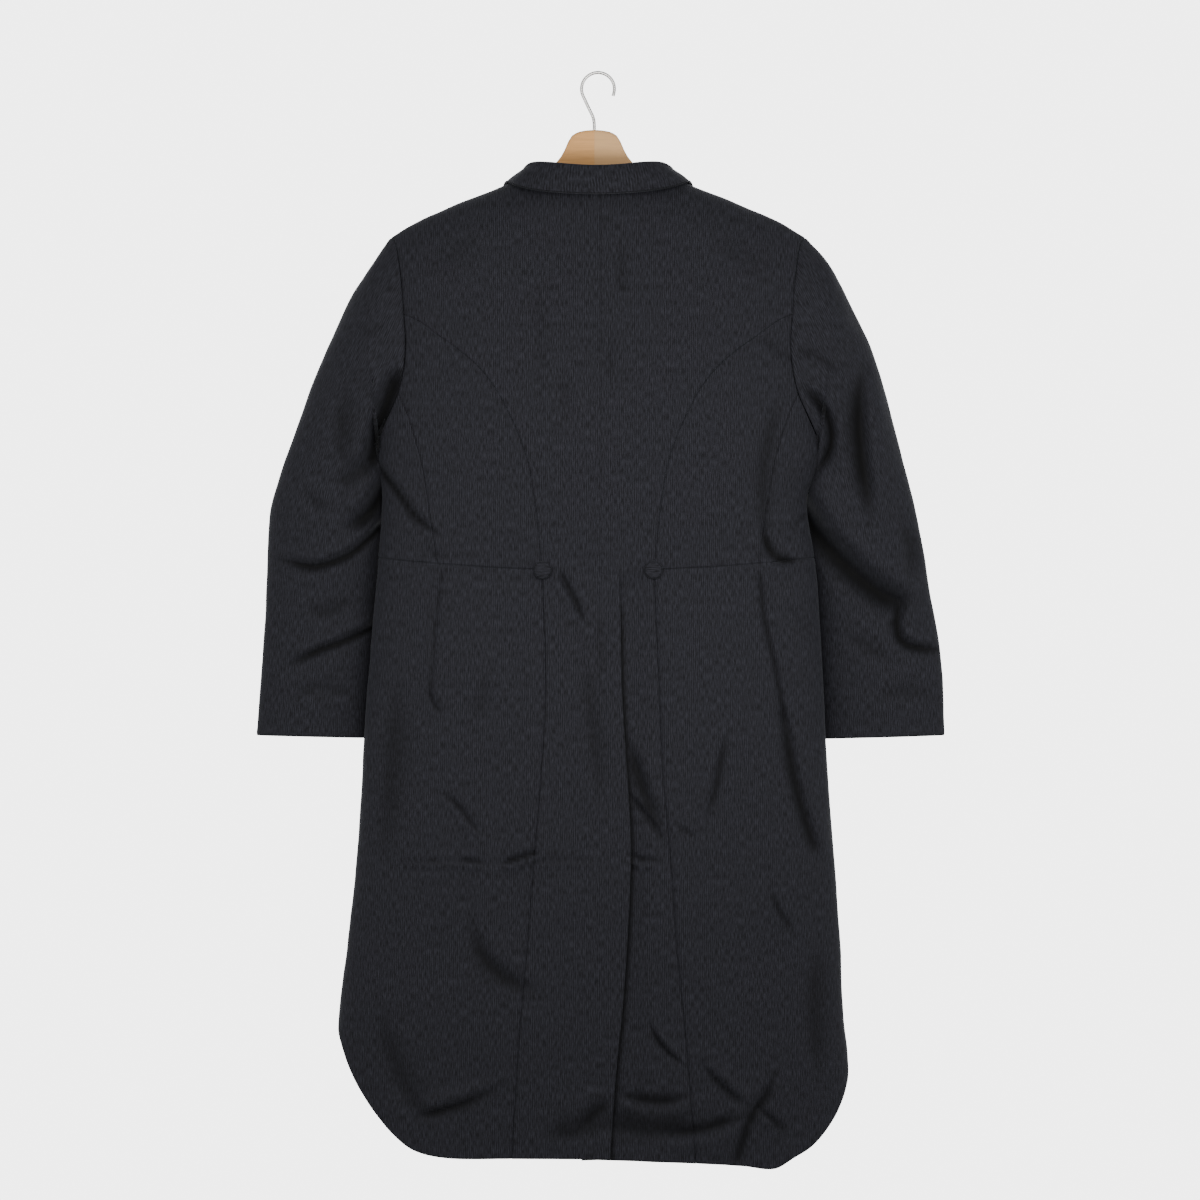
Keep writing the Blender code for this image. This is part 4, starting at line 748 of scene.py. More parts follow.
def finish_cloth(name, bm, relief, flip, material, flush=lambda point: False):
    if flip:
        bmesh.ops.reverse_faces(bm, faces=bm.faces)
    bmesh.ops.remove_doubles(bm, verts=bm.verts, dist=0.00004)
    bm.normal_update()
    # The fold layer holds the shade painted into creases, and then along seams and edges; the cloth's material darkens
    # by it
    painted_shade_layer = bm.verts.layers.float.new("fold")
    edges = {vertex for edge in bm.edges if edge.is_boundary for vertex in edge.verts if not flush(vertex.co)}
    reliefs = [(vertex, *relief(vertex.co, vertex.normal)) for vertex in bm.verts]
    for vertex, height, crease, fold in reliefs:
        vertex.co += vertex.normal * height + Vector((0, math.copysign(crease, crease * vertex.normal.y), 0))
        vertex[painted_shade_layer] = fold
    roll_edges(bm, edges, painted_shade_layer)
    area = sum(face.calc_area() for face in bm.faces)
    measure = bm.loops.layers.uv.verify()
    spots = [loop[measure].uv for face in bm.faces for loop in face.loops]
    for face in bm.faces:
        face.smooth = True
    mesh = bpy.data.meshes.new(name)
    bm.to_mesh(mesh)
    bm.free()
    mesh.materials.append(material)
    piece = bpy.data.objects.new(name, mesh)
    bpy.context.scene.collection.objects.link(piece)
    wall = piece.modifiers.new("wall", "SOLIDIFY")
    wall.thickness = cloth().thickness
    wall.offset = -1
    wall.use_even_offset = False
    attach(piece, BODY)
    return piece


def lift(side, angle, drop):
    """How far a piece stands off the form where one layer laps over another."""
    own_x = side * half_width(side, drop) * math.sin(angle)
    if math.cos(angle) < 0:
        return LAP_STEP * ease(-LAP_START, -LAP_FULL, own_x) if side < 0 else 0.0
    if side < 0:
        return 0.0
    under_vent = ease(WAIST_DROP + 0.001, VENT_TOP - 0.001, drop)
    return -LAP_STEP * under_vent * (1 - ease(0.040, 0.060, own_x))


def torso_relief(side):
    """The relief of a piece on the torso form, as its height, and the shade painted on it for how deep in a fold it is.
    """
    behind, before = drawn(BACK_CREASES), drawn(FRONT_CREASES)

    def relief(point, normal):
        drop = -point.z
        angle = math.asin(max(-1.0, min(1.0, side * point.x / half_width(side, drop))))
        if normal.y > 0:
            angle = PI - angle
        facing = min(1.0, abs(normal.y) * 1.6)
        height, fold = crease_relief(behind if normal.y < 0 else before, point.x, drop)
        return lift(side, angle, drop) + ripples(point), facing * height, facing * fold

    return relief


def yoke_place(side, inner_out, columns_front, column, share):
    """A place above the yoke's bottom line, on rows that follow the shoulder."""
    start = inner_out(None)
    top_out = start + (ARMHOLE[0].out - start) * column
    top = sample(SHOULDER, top_out, "drop")
    if top_out < NECK_OUT and not columns_front:
        top = neckline_drop(top_out)
    drop = top + (YOKE_BOTTOM - top) * share
    inner_drop = NECK_DROP if columns_front else NAPE_DROP
    inner = inner_out(inner_drop + (YOKE_BOTTOM - inner_drop) * share)
    station = ARM_TOP + (YOKE_BOTTOM - ARM_TOP) * share
    angle = armhole_angle(side, station, columns_front)
    outer = half_width(side, station) * math.sin(angle)
    out = inner + (outer - inner) * column
    return angle_on(side, out, drop, columns_front), drop


def bodice_rows(step):
    """Rows from the yoke's bottom line to the underarm, and on to the waist, as (zone, share)."""
    above = marks(ARM_BOTTOM - YOKE_BOTTOM, step, False, False)
    below = marks(WAIST_DROP - ARM_BOTTOM, step, False, True)
    return [("above", share) for share in above] + [("below", share) for share in below[1:]]


def row_drop(side, row, out_at, front=False):
    """The drop of a bodice row where it is out_at(drop) out from the middle."""
    zone, share = row
    if zone == "above":
        return YOKE_BOTTOM + (ARM_BOTTOM - YOKE_BOTTOM) * share
    drop = ARM_BOTTOM + (WAIST_DROP - ARM_BOTTOM) * share
    for _ in range(3):
        angle = angle_on(side, out_at(drop), drop, front)
        drop = ARM_BOTTOM + (waist_drop(angle) - ARM_BOTTOM) * share
    return drop


def tail_place(side, inner, outer, column, share):
    """A place between the waist and the hem, between two lines given by how far out they are."""
    drop = WAIST_DROP
    for _ in range(5):
        out = inner(drop) + (outer(drop) - inner(drop)) * column
        angle = angle_on(side, out, drop)
        low = sample(HEM, abs(angle), side_name(side))
        drop = waist_drop(angle) + (low - waist_drop(angle)) * share
    return angle, drop


def torso_pattern(side):
    def pattern(column, row, point):
        drop = -point.z
        angle = math.asin(max(-1.0, min(1.0, side * point.x / half_width(side, drop))))
        if point.y > 0:
            angle = PI - angle
        return arc(side, angle, drop), -drop

    return pattern


def build_back(side, material):
    """A back in one length, from the neck and shoulder to the hem of the tail."""
    step = cloth().step
    inner = side * CENTRE_SEAM_OUT
    columns = marks(ARMHOLE[0].out - inner, step)
    yoke = [("yoke", share) for share in marks(YOKE_BOTTOM - NAPE_DROP, step, True, False)]
    bodice = bodice_rows(step)

    def place(column, row):
        if row[0] == "yoke":
            angle, drop = yoke_place(side, lambda drop: inner, False, column, row[1])
        else:
            def out_at(drop):
                return inner + (sample(BLADE_SEAM, drop, "out") - inner) * column

            drop = row_drop(side, row, out_at)
            angle = angle_on(side, out_at(drop), drop)
        return form_point(side, angle, drop)

    def pleat(drop):
        return sample(BLADE_SEAM, drop, "out") if drop < WAIST_DROP else sample(PLEAT, drop, side_name(side))

    def tail(column, share):
        return form_point(side, *tail_place(side, lambda drop: inner, pleat, column, share))

    def edge(drop):
        return -sample(VENT_EDGE, drop, "out") if side < 0 else -VENT_UNDERLAP

    def lap(column, share):
        return form_point(side, *tail_place(side, edge, lambda drop: inner, column, share))

    bm = bmesh.new()
    pattern = torso_pattern(side)
    add_grid(bm, columns, yoke[:-1] + bodice, place, pattern)
    length = HEM[0].left - WAIST_DROP
    shares = marks(length, step, False, True)
    add_grid(bm, columns, shares, tail, pattern)
    vent = marks(0.03, step, True, False)
    top = VENT_SEAM_DROP - WAIST_DROP if side < 0 else VENT_TOP - WAIST_DROP
    below = [share for share in shares if share * length > top]
    add_grid(bm, vent, below, lap, pattern)
    plain = torso_relief(side)

    def relief(point, normal):
        drop = -point.z
        height, crease, fold = plain(point, normal)
        if drop < WAIST_DROP:
            # The centre seam dips a little and gets a thin line of painted shade
            seam = math.exp(-(((point.x - CENTRE_SEAM_OUT) / 0.0009) ** 2))
            return height - SEAM_DIP * seam, crease, max(fold, CENTRE_SEAM_PAINTED_SHADE * seam)
        from_edge = sample(VENT_EDGE, drop, "out") - point.x
        if side > 0:
            # The right tail gets a painted shadow beside the edge of the left tail that laps over it
            under = ease(0.0075, -0.001, abs(from_edge)) * ease(VENT_TOP, 0.62, drop)
            return height, crease, max(fold, VENT_SHADE * under)
        gape = sample(VENT_GAPE, drop, "out") * math.exp(-((from_edge / 0.016) ** 2))
        height -= VENT_START_SUNK * ease(VENT_TOP, VENT_SEAM_DROP, drop) * ease(0.0, CENTRE_SEAM_OUT, point.x)
        return height + gape + 0.0004 * ease(0.0, CENTRE_SEAM_OUT, point.x), crease, fold

    def flush(point):
        drop = -point.z
        if drop < WAIST_DROP:
            return abs(point.x - CENTRE_SEAM_OUT) < FLUSH_REACH and drop > NAPE_DROP + 0.004
        at_top = drop < VENT_SEAM_DROP + step * 1.2
        return side < 0 and at_top and point.x < sample(VENT_EDGE, drop, "out") - 0.001

    name = "back_" + side_name(side)
    piece = finish_cloth("cloth_" + name, bm, relief, side < 0, material, flush)
    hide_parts(name)


def build_side_body(side, material):
    """The panel between the curved blade seam and the side seam."""
    step = cloth().step
    columns = marks(0.115, step)

    def place(column, row):
        def out_at(drop):
            inner = sample(BLADE_SEAM, drop, "out")
            outer = sample(SIDE_SEAM if drop >= SIDE_SEAM[0].drop else ARMHOLE, drop, "out")
            return inner + (outer - inner) * column

        drop = row_drop(side, row, out_at)
        return form_point(side, angle_on(side, out_at(drop), drop), drop)

    bm = bmesh.new()
    rows = [("above", CORNER_SHARE)] + bodice_rows(step)[1:]
    add_grid(bm, columns, rows, place, torso_pattern(side))
    name = "side_body_" + side_name(side)
    piece = finish_cloth("cloth_" + name, bm, torso_relief(side), side < 0, material)
    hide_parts(name)


def build_forepart(side, material):
    """A forepart from the front edge round the side to the side seam, and its strip under the arm."""
    step = cloth().step * 1.3
    columns = marks(0.24, step)
    strip_columns = marks(0.06, step)
    yoke = [("yoke", share) for share in marks(YOKE_BOTTOM - NECK_DROP, step, True, False)]
    bodice = bodice_rows(step)
    arm_span = ARM_BOTTOM - YOKE_BOTTOM
    top = (SIDE_SEAM[0].drop - YOKE_BOTTOM) / arm_span + CORNER_SHARE
    strip = [("above", top)] + [row for row in bodice if row[0] == "below" or row[1] > top]

    def reach(drop):
        return NECK_OUT if drop is None else roll_out(drop)

    def place(column, row):
        if row[0] == "yoke":
            return form_point(side, *yoke_place(side, reach, True, column, row[1]))
        drop = row_drop(side, row, lambda drop: roll_out(drop) * (1 - column), True)
        for _ in range(3):
            start = angle_on(side, roll_out(drop), drop, True)
            angle = start + (armhole_angle(side, drop, True) - start) * column
            if row[0] == "below":
                drop = ARM_BOTTOM + (waist_drop(angle) - ARM_BOTTOM) * row[1]
        return form_point(side, angle, drop)

    def under(column, row):
        drop = row_drop(side, row, lambda drop: half_width(side, drop))
        for _ in range(3):
            start = armhole_angle(side, drop, False)
            seam = angle_on(side, sample(SIDE_SEAM, drop, "out"), drop)
            angle = start + (seam - start) * column
            if row[0] == "below":
                drop = ARM_BOTTOM + (waist_drop(angle) - ARM_BOTTOM) * row[1]
        return form_point(side, angle, drop)

    bm = bmesh.new()
    pattern = torso_pattern(side)
    add_grid(bm, columns, yoke[:-1] + bodice, place, pattern)
    add_grid(bm, strip_columns, strip, under, pattern)
    name = "forepart_" + side_name(side)
    piece = finish_cloth("cloth_" + name, bm, torso_relief(side), side > 0, material)
    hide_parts(name)


def build_skirt(side, material):
    """A skirt from under the pleat round to the cutaway front edge."""
    step = cloth().step
    columns = marks(0.56, step)
    shares = marks(HEM[0].left - WAIST_DROP, step)
    stop = PI + math.asin(FRONT_OVERLAP / half_width(side, WAIST_DROP))

    def place(column, share):
        drop = WAIST_DROP
        for _ in range(6):
            out = sample(PLEAT, drop, side_name(side)) - PLEAT_UNDER
            first = angle_on(side, out, drop)
            angle = first + (stop - first) * column
            low = sample(HEM, angle, side_name(side))
            drop = waist_drop(angle) + (low - waist_drop(angle)) * share
        return form_point(side, angle, drop)

    plain = torso_relief(side)

    def relief(point, normal):
        sink = 0.0
        if normal.y < 0:
            pleat = sample(PLEAT, -point.z, side_name(side))
            sink = 1 - ease(pleat - 0.002, pleat + 0.0035, side * point.x)
        height, crease, fold = plain(point, normal)
        return height - PLEAT_SINK * sink, crease, fold

    bm = bmesh.new()
    add_grid(bm, columns, shares, place, torso_pattern(side))
    name = "skirt_" + side_name(side)
    piece = finish_cloth("cloth_" + name, bm, relief, side < 0, material)
    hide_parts(name)


def build_lapel(side, material):
    """A peaked lapel, rolled back on its forepart."""
    step = cloth().step
    columns = marks(0.07, step)
    bottom = LAPEL_OUTER[-1].drop
    shares = marks(bottom - GORGE_DROP, step)

    def place(column, share):
        top = GORGE_DROP + (LAPEL_OUTER[0].drop - GORGE_DROP) * ease(0.35, 1.0, column)
        drop = top + (bottom - top) * share
        inner = roll_out(drop) + 0.001
        outer = max(sample(LAPEL_OUTER, drop, "out"), inner + 0.004)
        return form_point(side, angle_on(side, inner + (outer - inner) * column, drop, True), drop)

    plain = torso_relief(side)

    def relief(point, normal):
        from_roll = side * point.x - roll_out(-point.z)
        puff = 0.0016 * math.exp(-(((from_roll - 0.006) / 0.008) ** 2))
        height, crease, fold = plain(point, normal)
        return height + LAPEL_STAND + puff, crease, fold

    bm = bmesh.new()
    add_grid(bm, columns, shares, place, torso_pattern(side))
    name = "lapel_" + side_name(side)
    piece = finish_cloth("cloth_" + name, bm, relief, side > 0, material)
    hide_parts(name)


def ring_point(side, turn, k):
    """A point of the sleeve: ring 0 is the armhole, and the last one the cuff."""
    if k == 0:
        drop = (ARM_TOP + ARM_BOTTOM) / 2 - (ARM_BOTTOM - ARM_TOP) / 2 * math.cos(turn)
        return form_point(side, armhole_angle(side, drop, turn > PI), drop)
    ring = SLEEVE_RINGS[side][k - 1]
    outer = Vector((side * ring.out_x, ring.forward, -ring.out_drop))
    tucked = min(ring.in_x, half_width(side, ring.in_drop) - SLEEVE_TUCK)
    inner = Vector((side * tucked, ring.forward, -ring.in_drop))
    middle, arm = (outer + inner) / 2, (outer - inner) / 2
    return middle + arm * math.cos(turn) + Vector((0, -ring.depth * math.sin(turn), 0))


def build_sleeve(side, material, part, first, last):
    """One piece of a sleeve, between two turns round the arm."""
    step = cloth().step
    ring_count = len(SLEEVE_RINGS[side])
    girth = 0.40 * (last - first) / (2 * PI)
    turns = [first + (last - first) * share for share in marks(girth, step)]
    along = [share * ring_count for share in marks(0.56, step)]
    paths, spans = {}, {}

    def place(turn, at):
        if turn not in paths:
            whole = turn % (2 * PI)
            paths[turn] = [ring_point(side, whole, k) for k in range(ring_count + 1)]
        return bend(paths[turn], at)

    def off_grain(point):
        """How far a point lies outside the line that the cloth's stripes follow down the arm."""
        return side * point.x - sample(SLEEVE_GRAIN, -point.z, "out")

    def spread(at):
        """The middle of the stripes across the arm, half their width, and the arm's depth."""
        if at not in spans:
            outer, inner = off_grain(place(0.0, at)), off_grain(place(PI, at))
            middle = place(PI / 2, at)
            spans[at] = (outer + inner) / 2, (outer - inner) / 2, abs(place(0.0, at).y - middle.y)
        return spans[at]

    def pattern(turn, at, point):
        wrap = math.copysign(1 - abs(math.sin(turn)), math.cos(turn))
        spot = off_grain(point) + GRAIN_WRAP * spread(at)[2] * wrap
        if turn % (2 * PI) > PI:
            centre, half, depth = spread(max(at, HEAD_RINGS))
            whole = half + GRAIN_WRAP * depth
            spot = 2 * (centre + (whole if part == "top" else -whole)) - spot
        return side * spot, point.z

    behind, before = (drawn(SLEEVE_CREASES[(side, face)]) for face in ("back", "front"))

    def relief(point, normal):
        facing = min(1.0, abs(normal.y) * 1.5)
        drop = -point.z
        head = (point - form_point(side, armhole_angle(side, min(drop, ARM_BOTTOM), normal.y > 0), drop)).length
        crown = SLEEVE_HEAD_LIFT * math.exp(-(((head - 0.010) / 0.007) ** 2))
        crown *= ease(0.36, 0.22, drop) * ease(0.185, 0.215, drop)
        # The sleeve's creases paint shade in their folds too; on the inner turn the back table's painted shade is used
        height, fold = crease_relief(behind if normal.y < 0 else before, point.x, drop)
        if 0 <= normal.y < INNER_TURN:
            fold = crease_relief(behind, point.x, drop)[1]
        return crown + ripples(point), facing * height, fold

    hind = [place(HIND_SEAM_TURN, at) for at in along[4:-4]]
    bm = bmesh.new()
    add_grid(bm, turns, along, place, pattern)
    name = part + "_sleeve_" + side_name(side)
    piece = finish_cloth(
        "cloth_" + name, bm, relief, side > 0, material, lambda point: nearest(hind, point) < FLUSH_REACH
    )
    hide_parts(name)


def collar_seam(side, neck):
    """Where the collar's stand is sewn on: to the back's neckline, or to the forepart's edge."""
    front = neck.seam[1] > 0
    out, drop = neck.seam[0], neckline_drop(neck.seam[0])
    if front:
        drop = neck.seam[2]
        out = roll_out(drop) - 0.0022
    seam = form_point(side, angle_on(side, out, drop, front), drop)
    seam.z += 0 if front else 0.0022
    return seam


def build_collar(material):
    """The collar, whole from gorge to gorge, folded over at its crease."""
    halves = [(-1, neck) for neck in reversed(COLLAR)] + [(1, neck) for neck in COLLAR[1:]]
    lines = {"seam": [], "crease": [], "edge": []}
    for side, neck in halves:
        lines["seam"].append(collar_seam(side, neck))
        shift = COLLAR_SHIFT * ease(SHIFT_END, SHIFT_FULL, neck.crease[1])
        for name, (out, depth, drop) in (("crease", neck.crease), ("edge", neck.edge)):
            lines[name].append(Vector((side * out + shift, depth, -drop)))
    up = Vector((0, 0, 1))
    step = cloth().step
    length = 0.42
    last = len(halves) - 1

    def place(down, share):
        at = share * last
        seam, crease, edge = (bend(lines[name], at) for name in ("seam", "crease", "edge"))
        out = Vector((edge.x - seam.x, edge.y - seam.y, 0)).normalized()
        top = crease - up * COLLAR_FOLD_RADIUS
        if down < 0.36:
            return seam + (top - seam) * (down / 0.36)
        if down < 0.52:
            turn = PI * (1 - (down - 0.36) / 0.16)
            centre = top + out * COLLAR_FOLD_RADIUS
            return centre + (out * math.cos(turn) + up * math.sin(turn)) * COLLAR_FOLD_RADIUS
        start = top + out * COLLAR_FOLD_RADIUS * 2
        share = (down - 0.52) / 0.48
        bow = out * 0.0016 * math.sin(PI * share)
        return start + (edge - start) * share + bow

    def pattern(down, share, point):
        return (share - 0.5) * length, down * 0.075 + 0.3

    def relief(point, normal):
        return ripples(point) * 0.7, 0.0, 0.0

    fall = [0.52 + 0.48 * share for share in marks(0.036, step * 0.7, False, True)]
    stand = [0.36 * share for share in marks(0.027, step * 0.7, True, False)]
    fold = [0.36 + 0.16 * k / 10 for k in range(1, 10)]
    bm = bmesh.new()
    add_grid(bm, stand + fold + fall, marks(length, step * 0.8), place, pattern)
    piece = finish_cloth("cloth_collar", bm, relief, False, material)
    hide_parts("collar")


def add_piece(name, bm, material, replaced=None):
    """Makes a finished hard piece from a bmesh."""
    for face in bm.faces:
        face.smooth = True
    mesh = bpy.data.meshes.new(name)
    bm.to_mesh(mesh)
    bm.free()
    mesh.materials.append(material)
    piece = bpy.data.objects.new(name, mesh)
    bpy.context.scene.collection.objects.link(piece)
    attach(piece, BODY)
    if replaced:
        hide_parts(replaced)
    return piece


def button_place(name):
    """Where a button sits, and the way it faces."""
    if name == "front_button":
        side, angle, drop = -1, PI, BUTTON_DROP
    else:
        side, drop = BUTTON_PLACES[name], WAIST_DROP
        angle = angle_on(side, BACK_BUTTON_OUT, drop)
    point = form_point(side, angle, drop)
    around = [form_point(side, angle + 0.02, drop), form_point(side, angle, drop + 0.005)]
    normal = (around[0] - point).cross(around[1] - point).normalized()
    if normal.y * point.y < 0:
        normal = -normal
    return point + normal * (LAP_STEP if name == "front_button" else 0.0), normal


def build_button(name, material):
    """A covered button: cloth drawn over a low dome and gathered under its rim."""
    sizes = bpy.context.scene.tailcoat_button
    radius, height = sizes.radius, sizes.height
    profile = [
        (0.0, height),
        (0.40, height * 0.995),
        (0.66, height * 0.975),
        (0.82, height * 0.92),
        (0.92, height * 0.78),
        (0.975, height * 0.50),
        (1.0, height * 0.33),
        (0.975, height * 0.18),
        (0.90, height * 0.08),
        (0.0, height * 0.06),
    ]
    bm = bmesh.new()
    points = [bm.verts.new((radius * out, 0, up + 0.0006)) for out, up in profile]
    edges = [bm.edges.new(pair) for pair in zip(points, points[1:])]
    bmesh.ops.spin(
        bm, geom=points + edges, cent=(0, 0, 0), axis=(0, 0, 1), angle=2 * PI, steps=48, use_merge=True
    )
    bmesh.ops.remove_doubles(bm, verts=bm.verts, dist=0.00001)
    bmesh.ops.recalc_face_normals(bm, faces=bm.faces)
    painted_shade_layer = bm.verts.layers.float.new("fold")
    for vertex in bm.verts:
        turn = math.atan2(vertex.co.y, vertex.co.x)
        out = math.hypot(vertex.co.x, vertex.co.y) / radius
        vertex.co.z += ease(0.7, 0.97, out) * 0.00012 * math.sin(turn * 11)
        # Painted shade round the rim, where the cloth turns under
        vertex[painted_shade_layer] = BUTTON_RIM_PAINTED_SHADE * ease(0.86, 0.98, out)
    point, normal = button_place(name)
    place = Matrix.Translation(point) @ normal.to_track_quat("Z", "Y").to_matrix().to_4x4()
    bmesh.ops.transform(bm, matrix=place, verts=bm.verts)
    add_piece("covered_" + name, bm, material, name)


def bar_row(at):
    """The hanger's section at a signed distance from its middle."""
    out = abs(at)
    return tuple(sample(HANGER_BAR, out, column) for column in ("top", "bottom", "half"))


def build_hanger(material):
    """The wooden hanger: a neck that stands above the collar, and two arms inside the shoulders."""
    reach = HANGER_BAR[-1].out
    count, around = 150, 28
    bm = bmesh.new()
    rings = []
    for k in range(count + 1):
        at = reach * math.sin(PI / 2 * (2 * k / count - 1) * 0.97) / math.sin(PI / 2 * 0.97)
        top, bottom, half = bar_row(at)
        middle, tall = -(top + bottom) / 2, (bottom - top) / 2
        made = bmesh.ops.create_circle(bm, cap_ends=False, segments=around, radius=1.0)
        for vertex in made["verts"]:
            turn = math.atan2(vertex.co.y, vertex.co.x)
            power = 0.55
            y = half * math.copysign(abs(math.cos(turn)) ** power, math.cos(turn))
            z = tall * math.copysign(abs(math.sin(turn)) ** power, math.sin(turn))
            if tall > half:
                z = math.copysign(tall - half + half * abs(math.sin(turn)) ** power, math.sin(turn))
                z *= 1 if abs(math.sin(turn)) > 1e-6 else 0
            vertex.co = Vector((HANGER_MIDDLE_X + at, y, middle + z))
        rings.append(list({edge for vertex in made["verts"] for edge in vertex.link_edges}))
    for first, second in zip(rings, rings[1:]):
        bmesh.ops.bridge_loops(bm, edges=first + second)
    for ring in (rings[0], rings[-1]):
        bmesh.ops.contextual_create(bm, geom=ring)
    bmesh.ops.recalc_face_normals(bm, faces=bm.faces)
    add_piece("wooden_hanger", bm, material, "hanger")


def build_hook(material):
    """The wire hook: a straight shank that swings out and over the rod."""
    radius = HOOK_INSIDE + HOOK_WIRE
    foot = HANGER_BAR[0].top - HOOK_SUNK
    route = [
        (HANGER_MIDDLE_X, foot),
        (HANGER_MIDDLE_X, foot - 0.008),
        (HANGER_MIDDLE_X - 0.001, foot - 0.014),
        (HANGER_MIDDLE_X - 0.005, foot - 0.021),
    ]
    steps = 16
    for k in range(steps + 1):
        turn = math.radians(215 + (HOOK_OPEN_DEGREES - 215) * k / steps)
        route.append((radius * math.cos(turn), HOOK_INSIDE - radius * math.sin(turn)))
    data = bpy.data.curves.new("wire_hook", "CURVE")
    data.dimensions = "3D"
    data.bevel_depth = HOOK_WIRE
    data.bevel_resolution = 5
    data.use_fill_caps = True
    data.resolution_u = 4
    spline = data.splines.new("NURBS")
    spline.points.add(len(route) - 1)
    for point, (x, drop) in zip(spline.points, route):
        point.co = (x, 0, -drop, 1)
    spline.use_endpoint_u = True
    data.materials.append(material)
    piece = bpy.data.objects.new("wire_hook", data)
    bpy.context.scene.collection.objects.link(piece)
    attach(piece, BODY)
    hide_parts("hook")


def new_group(name, inputs, outputs):
    """A shader node group with its sockets, and its input and output nodes."""
    group = bpy.data.node_groups.new(name, "ShaderNodeTree")
    for label, kind, default in inputs:
        socket = group.interface.new_socket(name=label, in_out="INPUT", socket_type="NodeSocket" + kind)
        if default is not None:
            socket.default_value = default
    for label, kind in outputs:
        group.interface.new_socket(name=label, in_out="OUTPUT", socket_type="NodeSocket" + kind)
    return group, group.nodes.new("NodeGroupInput"), group.nodes.new("NodeGroupOutput")


def wire(tree, source, target):
    tree.links.new(source, target)


def calculate(tree, operation, *values, clamp=False):
    """A Math node, fed by numbers or sockets."""
    node = tree.nodes.new("ShaderNodeMath")
    node.operation = operation
    node.use_clamp = clamp
    for socket, value in zip(node.inputs, values):
        if isinstance(value, (int, float)):
            socket.default_value = value
        else:
            wire(tree, value, socket)
    return node.outputs[0]


def blend_colours(tree, factor, low, high):
    """A colour mix, fed by sockets or values."""
    node = tree.nodes.new("ShaderNodeMix")
    node.data_type = "RGBA"
    for socket, value in ((node.inputs[0], factor), (node.inputs[6], low), (node.inputs[7], high)):
        if isinstance(value, (int, float, tuple)):
            socket.default_value = value
        else:
            wire(tree, value, socket)
    return node.outputs[2]


def scaled(tree, vector, across, along, deep=1.0):
    """A vector stretched along its axes by numbers or sockets."""
    node = tree.nodes.new("ShaderNodeVectorMath")
    node.operation = "MULTIPLY"
    wire(tree, vector, node.inputs[0])
    combine = tree.nodes.new("ShaderNodeCombineXYZ")
    for socket, value in zip(combine.inputs, (across, along, deep)):
        if isinstance(value, (int, float)):
            socket.default_value = value
        else:
            wire(tree, value, socket)
    wire(tree, combine.outputs[0], node.inputs[1])
    return node.outputs[0]


def speckle(tree, vector, detail=2.0, roughness=0.5):
    """A Noise node's value, at scale 1 on the given vector."""
    node = tree.nodes.new("ShaderNodeTexNoise")
    node.inputs["Scale"].default_value = 1.0
    node.inputs["Detail"].default_value = detail
    node.inputs["Roughness"].default_value = roughness
    wire(tree, vector, node.inputs["Vector"])
    return node.outputs[0]


def worsted_group():
    """Fine worsted with a vertical self-stripe, darkened where shade is painted. The vector is in metres, with Y along
    the warp.
    """
    group = bpy.data.node_groups.get("striped worsted")
    if group:
        return group
    group, entry, leave = new_group(
        "striped worsted",
        [
            ("Vector", "Vector", None),
            ("Stripe", "Float", 0.0024),
            ("Ground", "Color", (0.02, 0.02, 0.02, 1)),
            ("Light", "Color", (0.05, 0.05, 0.05, 1)),
            ("Contrast", "Float", 1.0),
            ("Fold", "Float", 0.0),
        ],
        [("Color", "Color"), ("Height", "Float"), ("Roughness", "Float")],
    )
    vector, stripe = entry.outputs["Vector"], entry.outputs["Stripe"]
    per_stripe = calculate(group, "DIVIDE", 1.0, stripe)
    split = group.nodes.new("ShaderNodeSeparateXYZ")
    wire(group, vector, split.inputs[0])
    lines = calculate(group, "SINE", calculate(group, "MULTIPLY", split.outputs[0], calculate(group, "MULTIPLY", per_stripe, 2 * PI)))
    lines = calculate(group, "MULTIPLY_ADD", lines, 0.5, 0.5)
    streaks = speckle(group, scaled(group, vector, calculate(group, "MULTIPLY", per_stripe, 2.0), 120.0), 2.0)
    tufts = speckle(group, scaled(group, vector, 900.0, 620.0), 1.0)
    heather = speckle(group, scaled(group, vector, 95.0, 40.0), 3.0)
    twill = calculate(group, "ADD", split.outputs[0], calculate(group, "MULTIPLY", split.outputs[1], 0.7))
    twill = calculate(group, "SINE", calculate(group, "MULTIPLY", twill, 2 * PI / 0.0011))
    twill = calculate(group, "MULTIPLY_ADD", twill, 0.5, 0.5)
    tone = calculate(group, "MULTIPLY", calculate(group, "SUBTRACT", streaks, 0.5), 2.4)
    for part, share in ((lines, 0.36), (tufts, 0.5), (heather, 0.26)):
        tone = calculate(group, "MULTIPLY_ADD", calculate(group, "SUBTRACT", part, 0.5), share, tone)
    tone = calculate(group, "MULTIPLY_ADD", tone, entry.outputs["Contrast"], 0.42, clamp=True)
    colour = blend_colours(group, tone, entry.outputs["Ground"], entry.outputs["Light"])
    # Painted shade: the fold value darkens the colour towards near black in creases, along seams and edges, and round
    # the buttons' rims
    colour = blend_colours(group, entry.outputs["Fold"], colour, (0.0004, 0.0004, 0.0005, 1))
    wire(group, colour, leave.inputs["Color"])
    height = calculate(group, "ADD", calculate(group, "MULTIPLY", lines, 0.5), calculate(group, "MULTIPLY", twill, 0.5))
    height = calculate(group, "ADD", height, calculate(group, "MULTIPLY", tufts, 0.8))
    wire(group, height, leave.inputs["Height"])
    wire(group, calculate(group, "MULTIPLY_ADD", heather, 0.10, 0.78), leave.inputs["Roughness"])
    return group


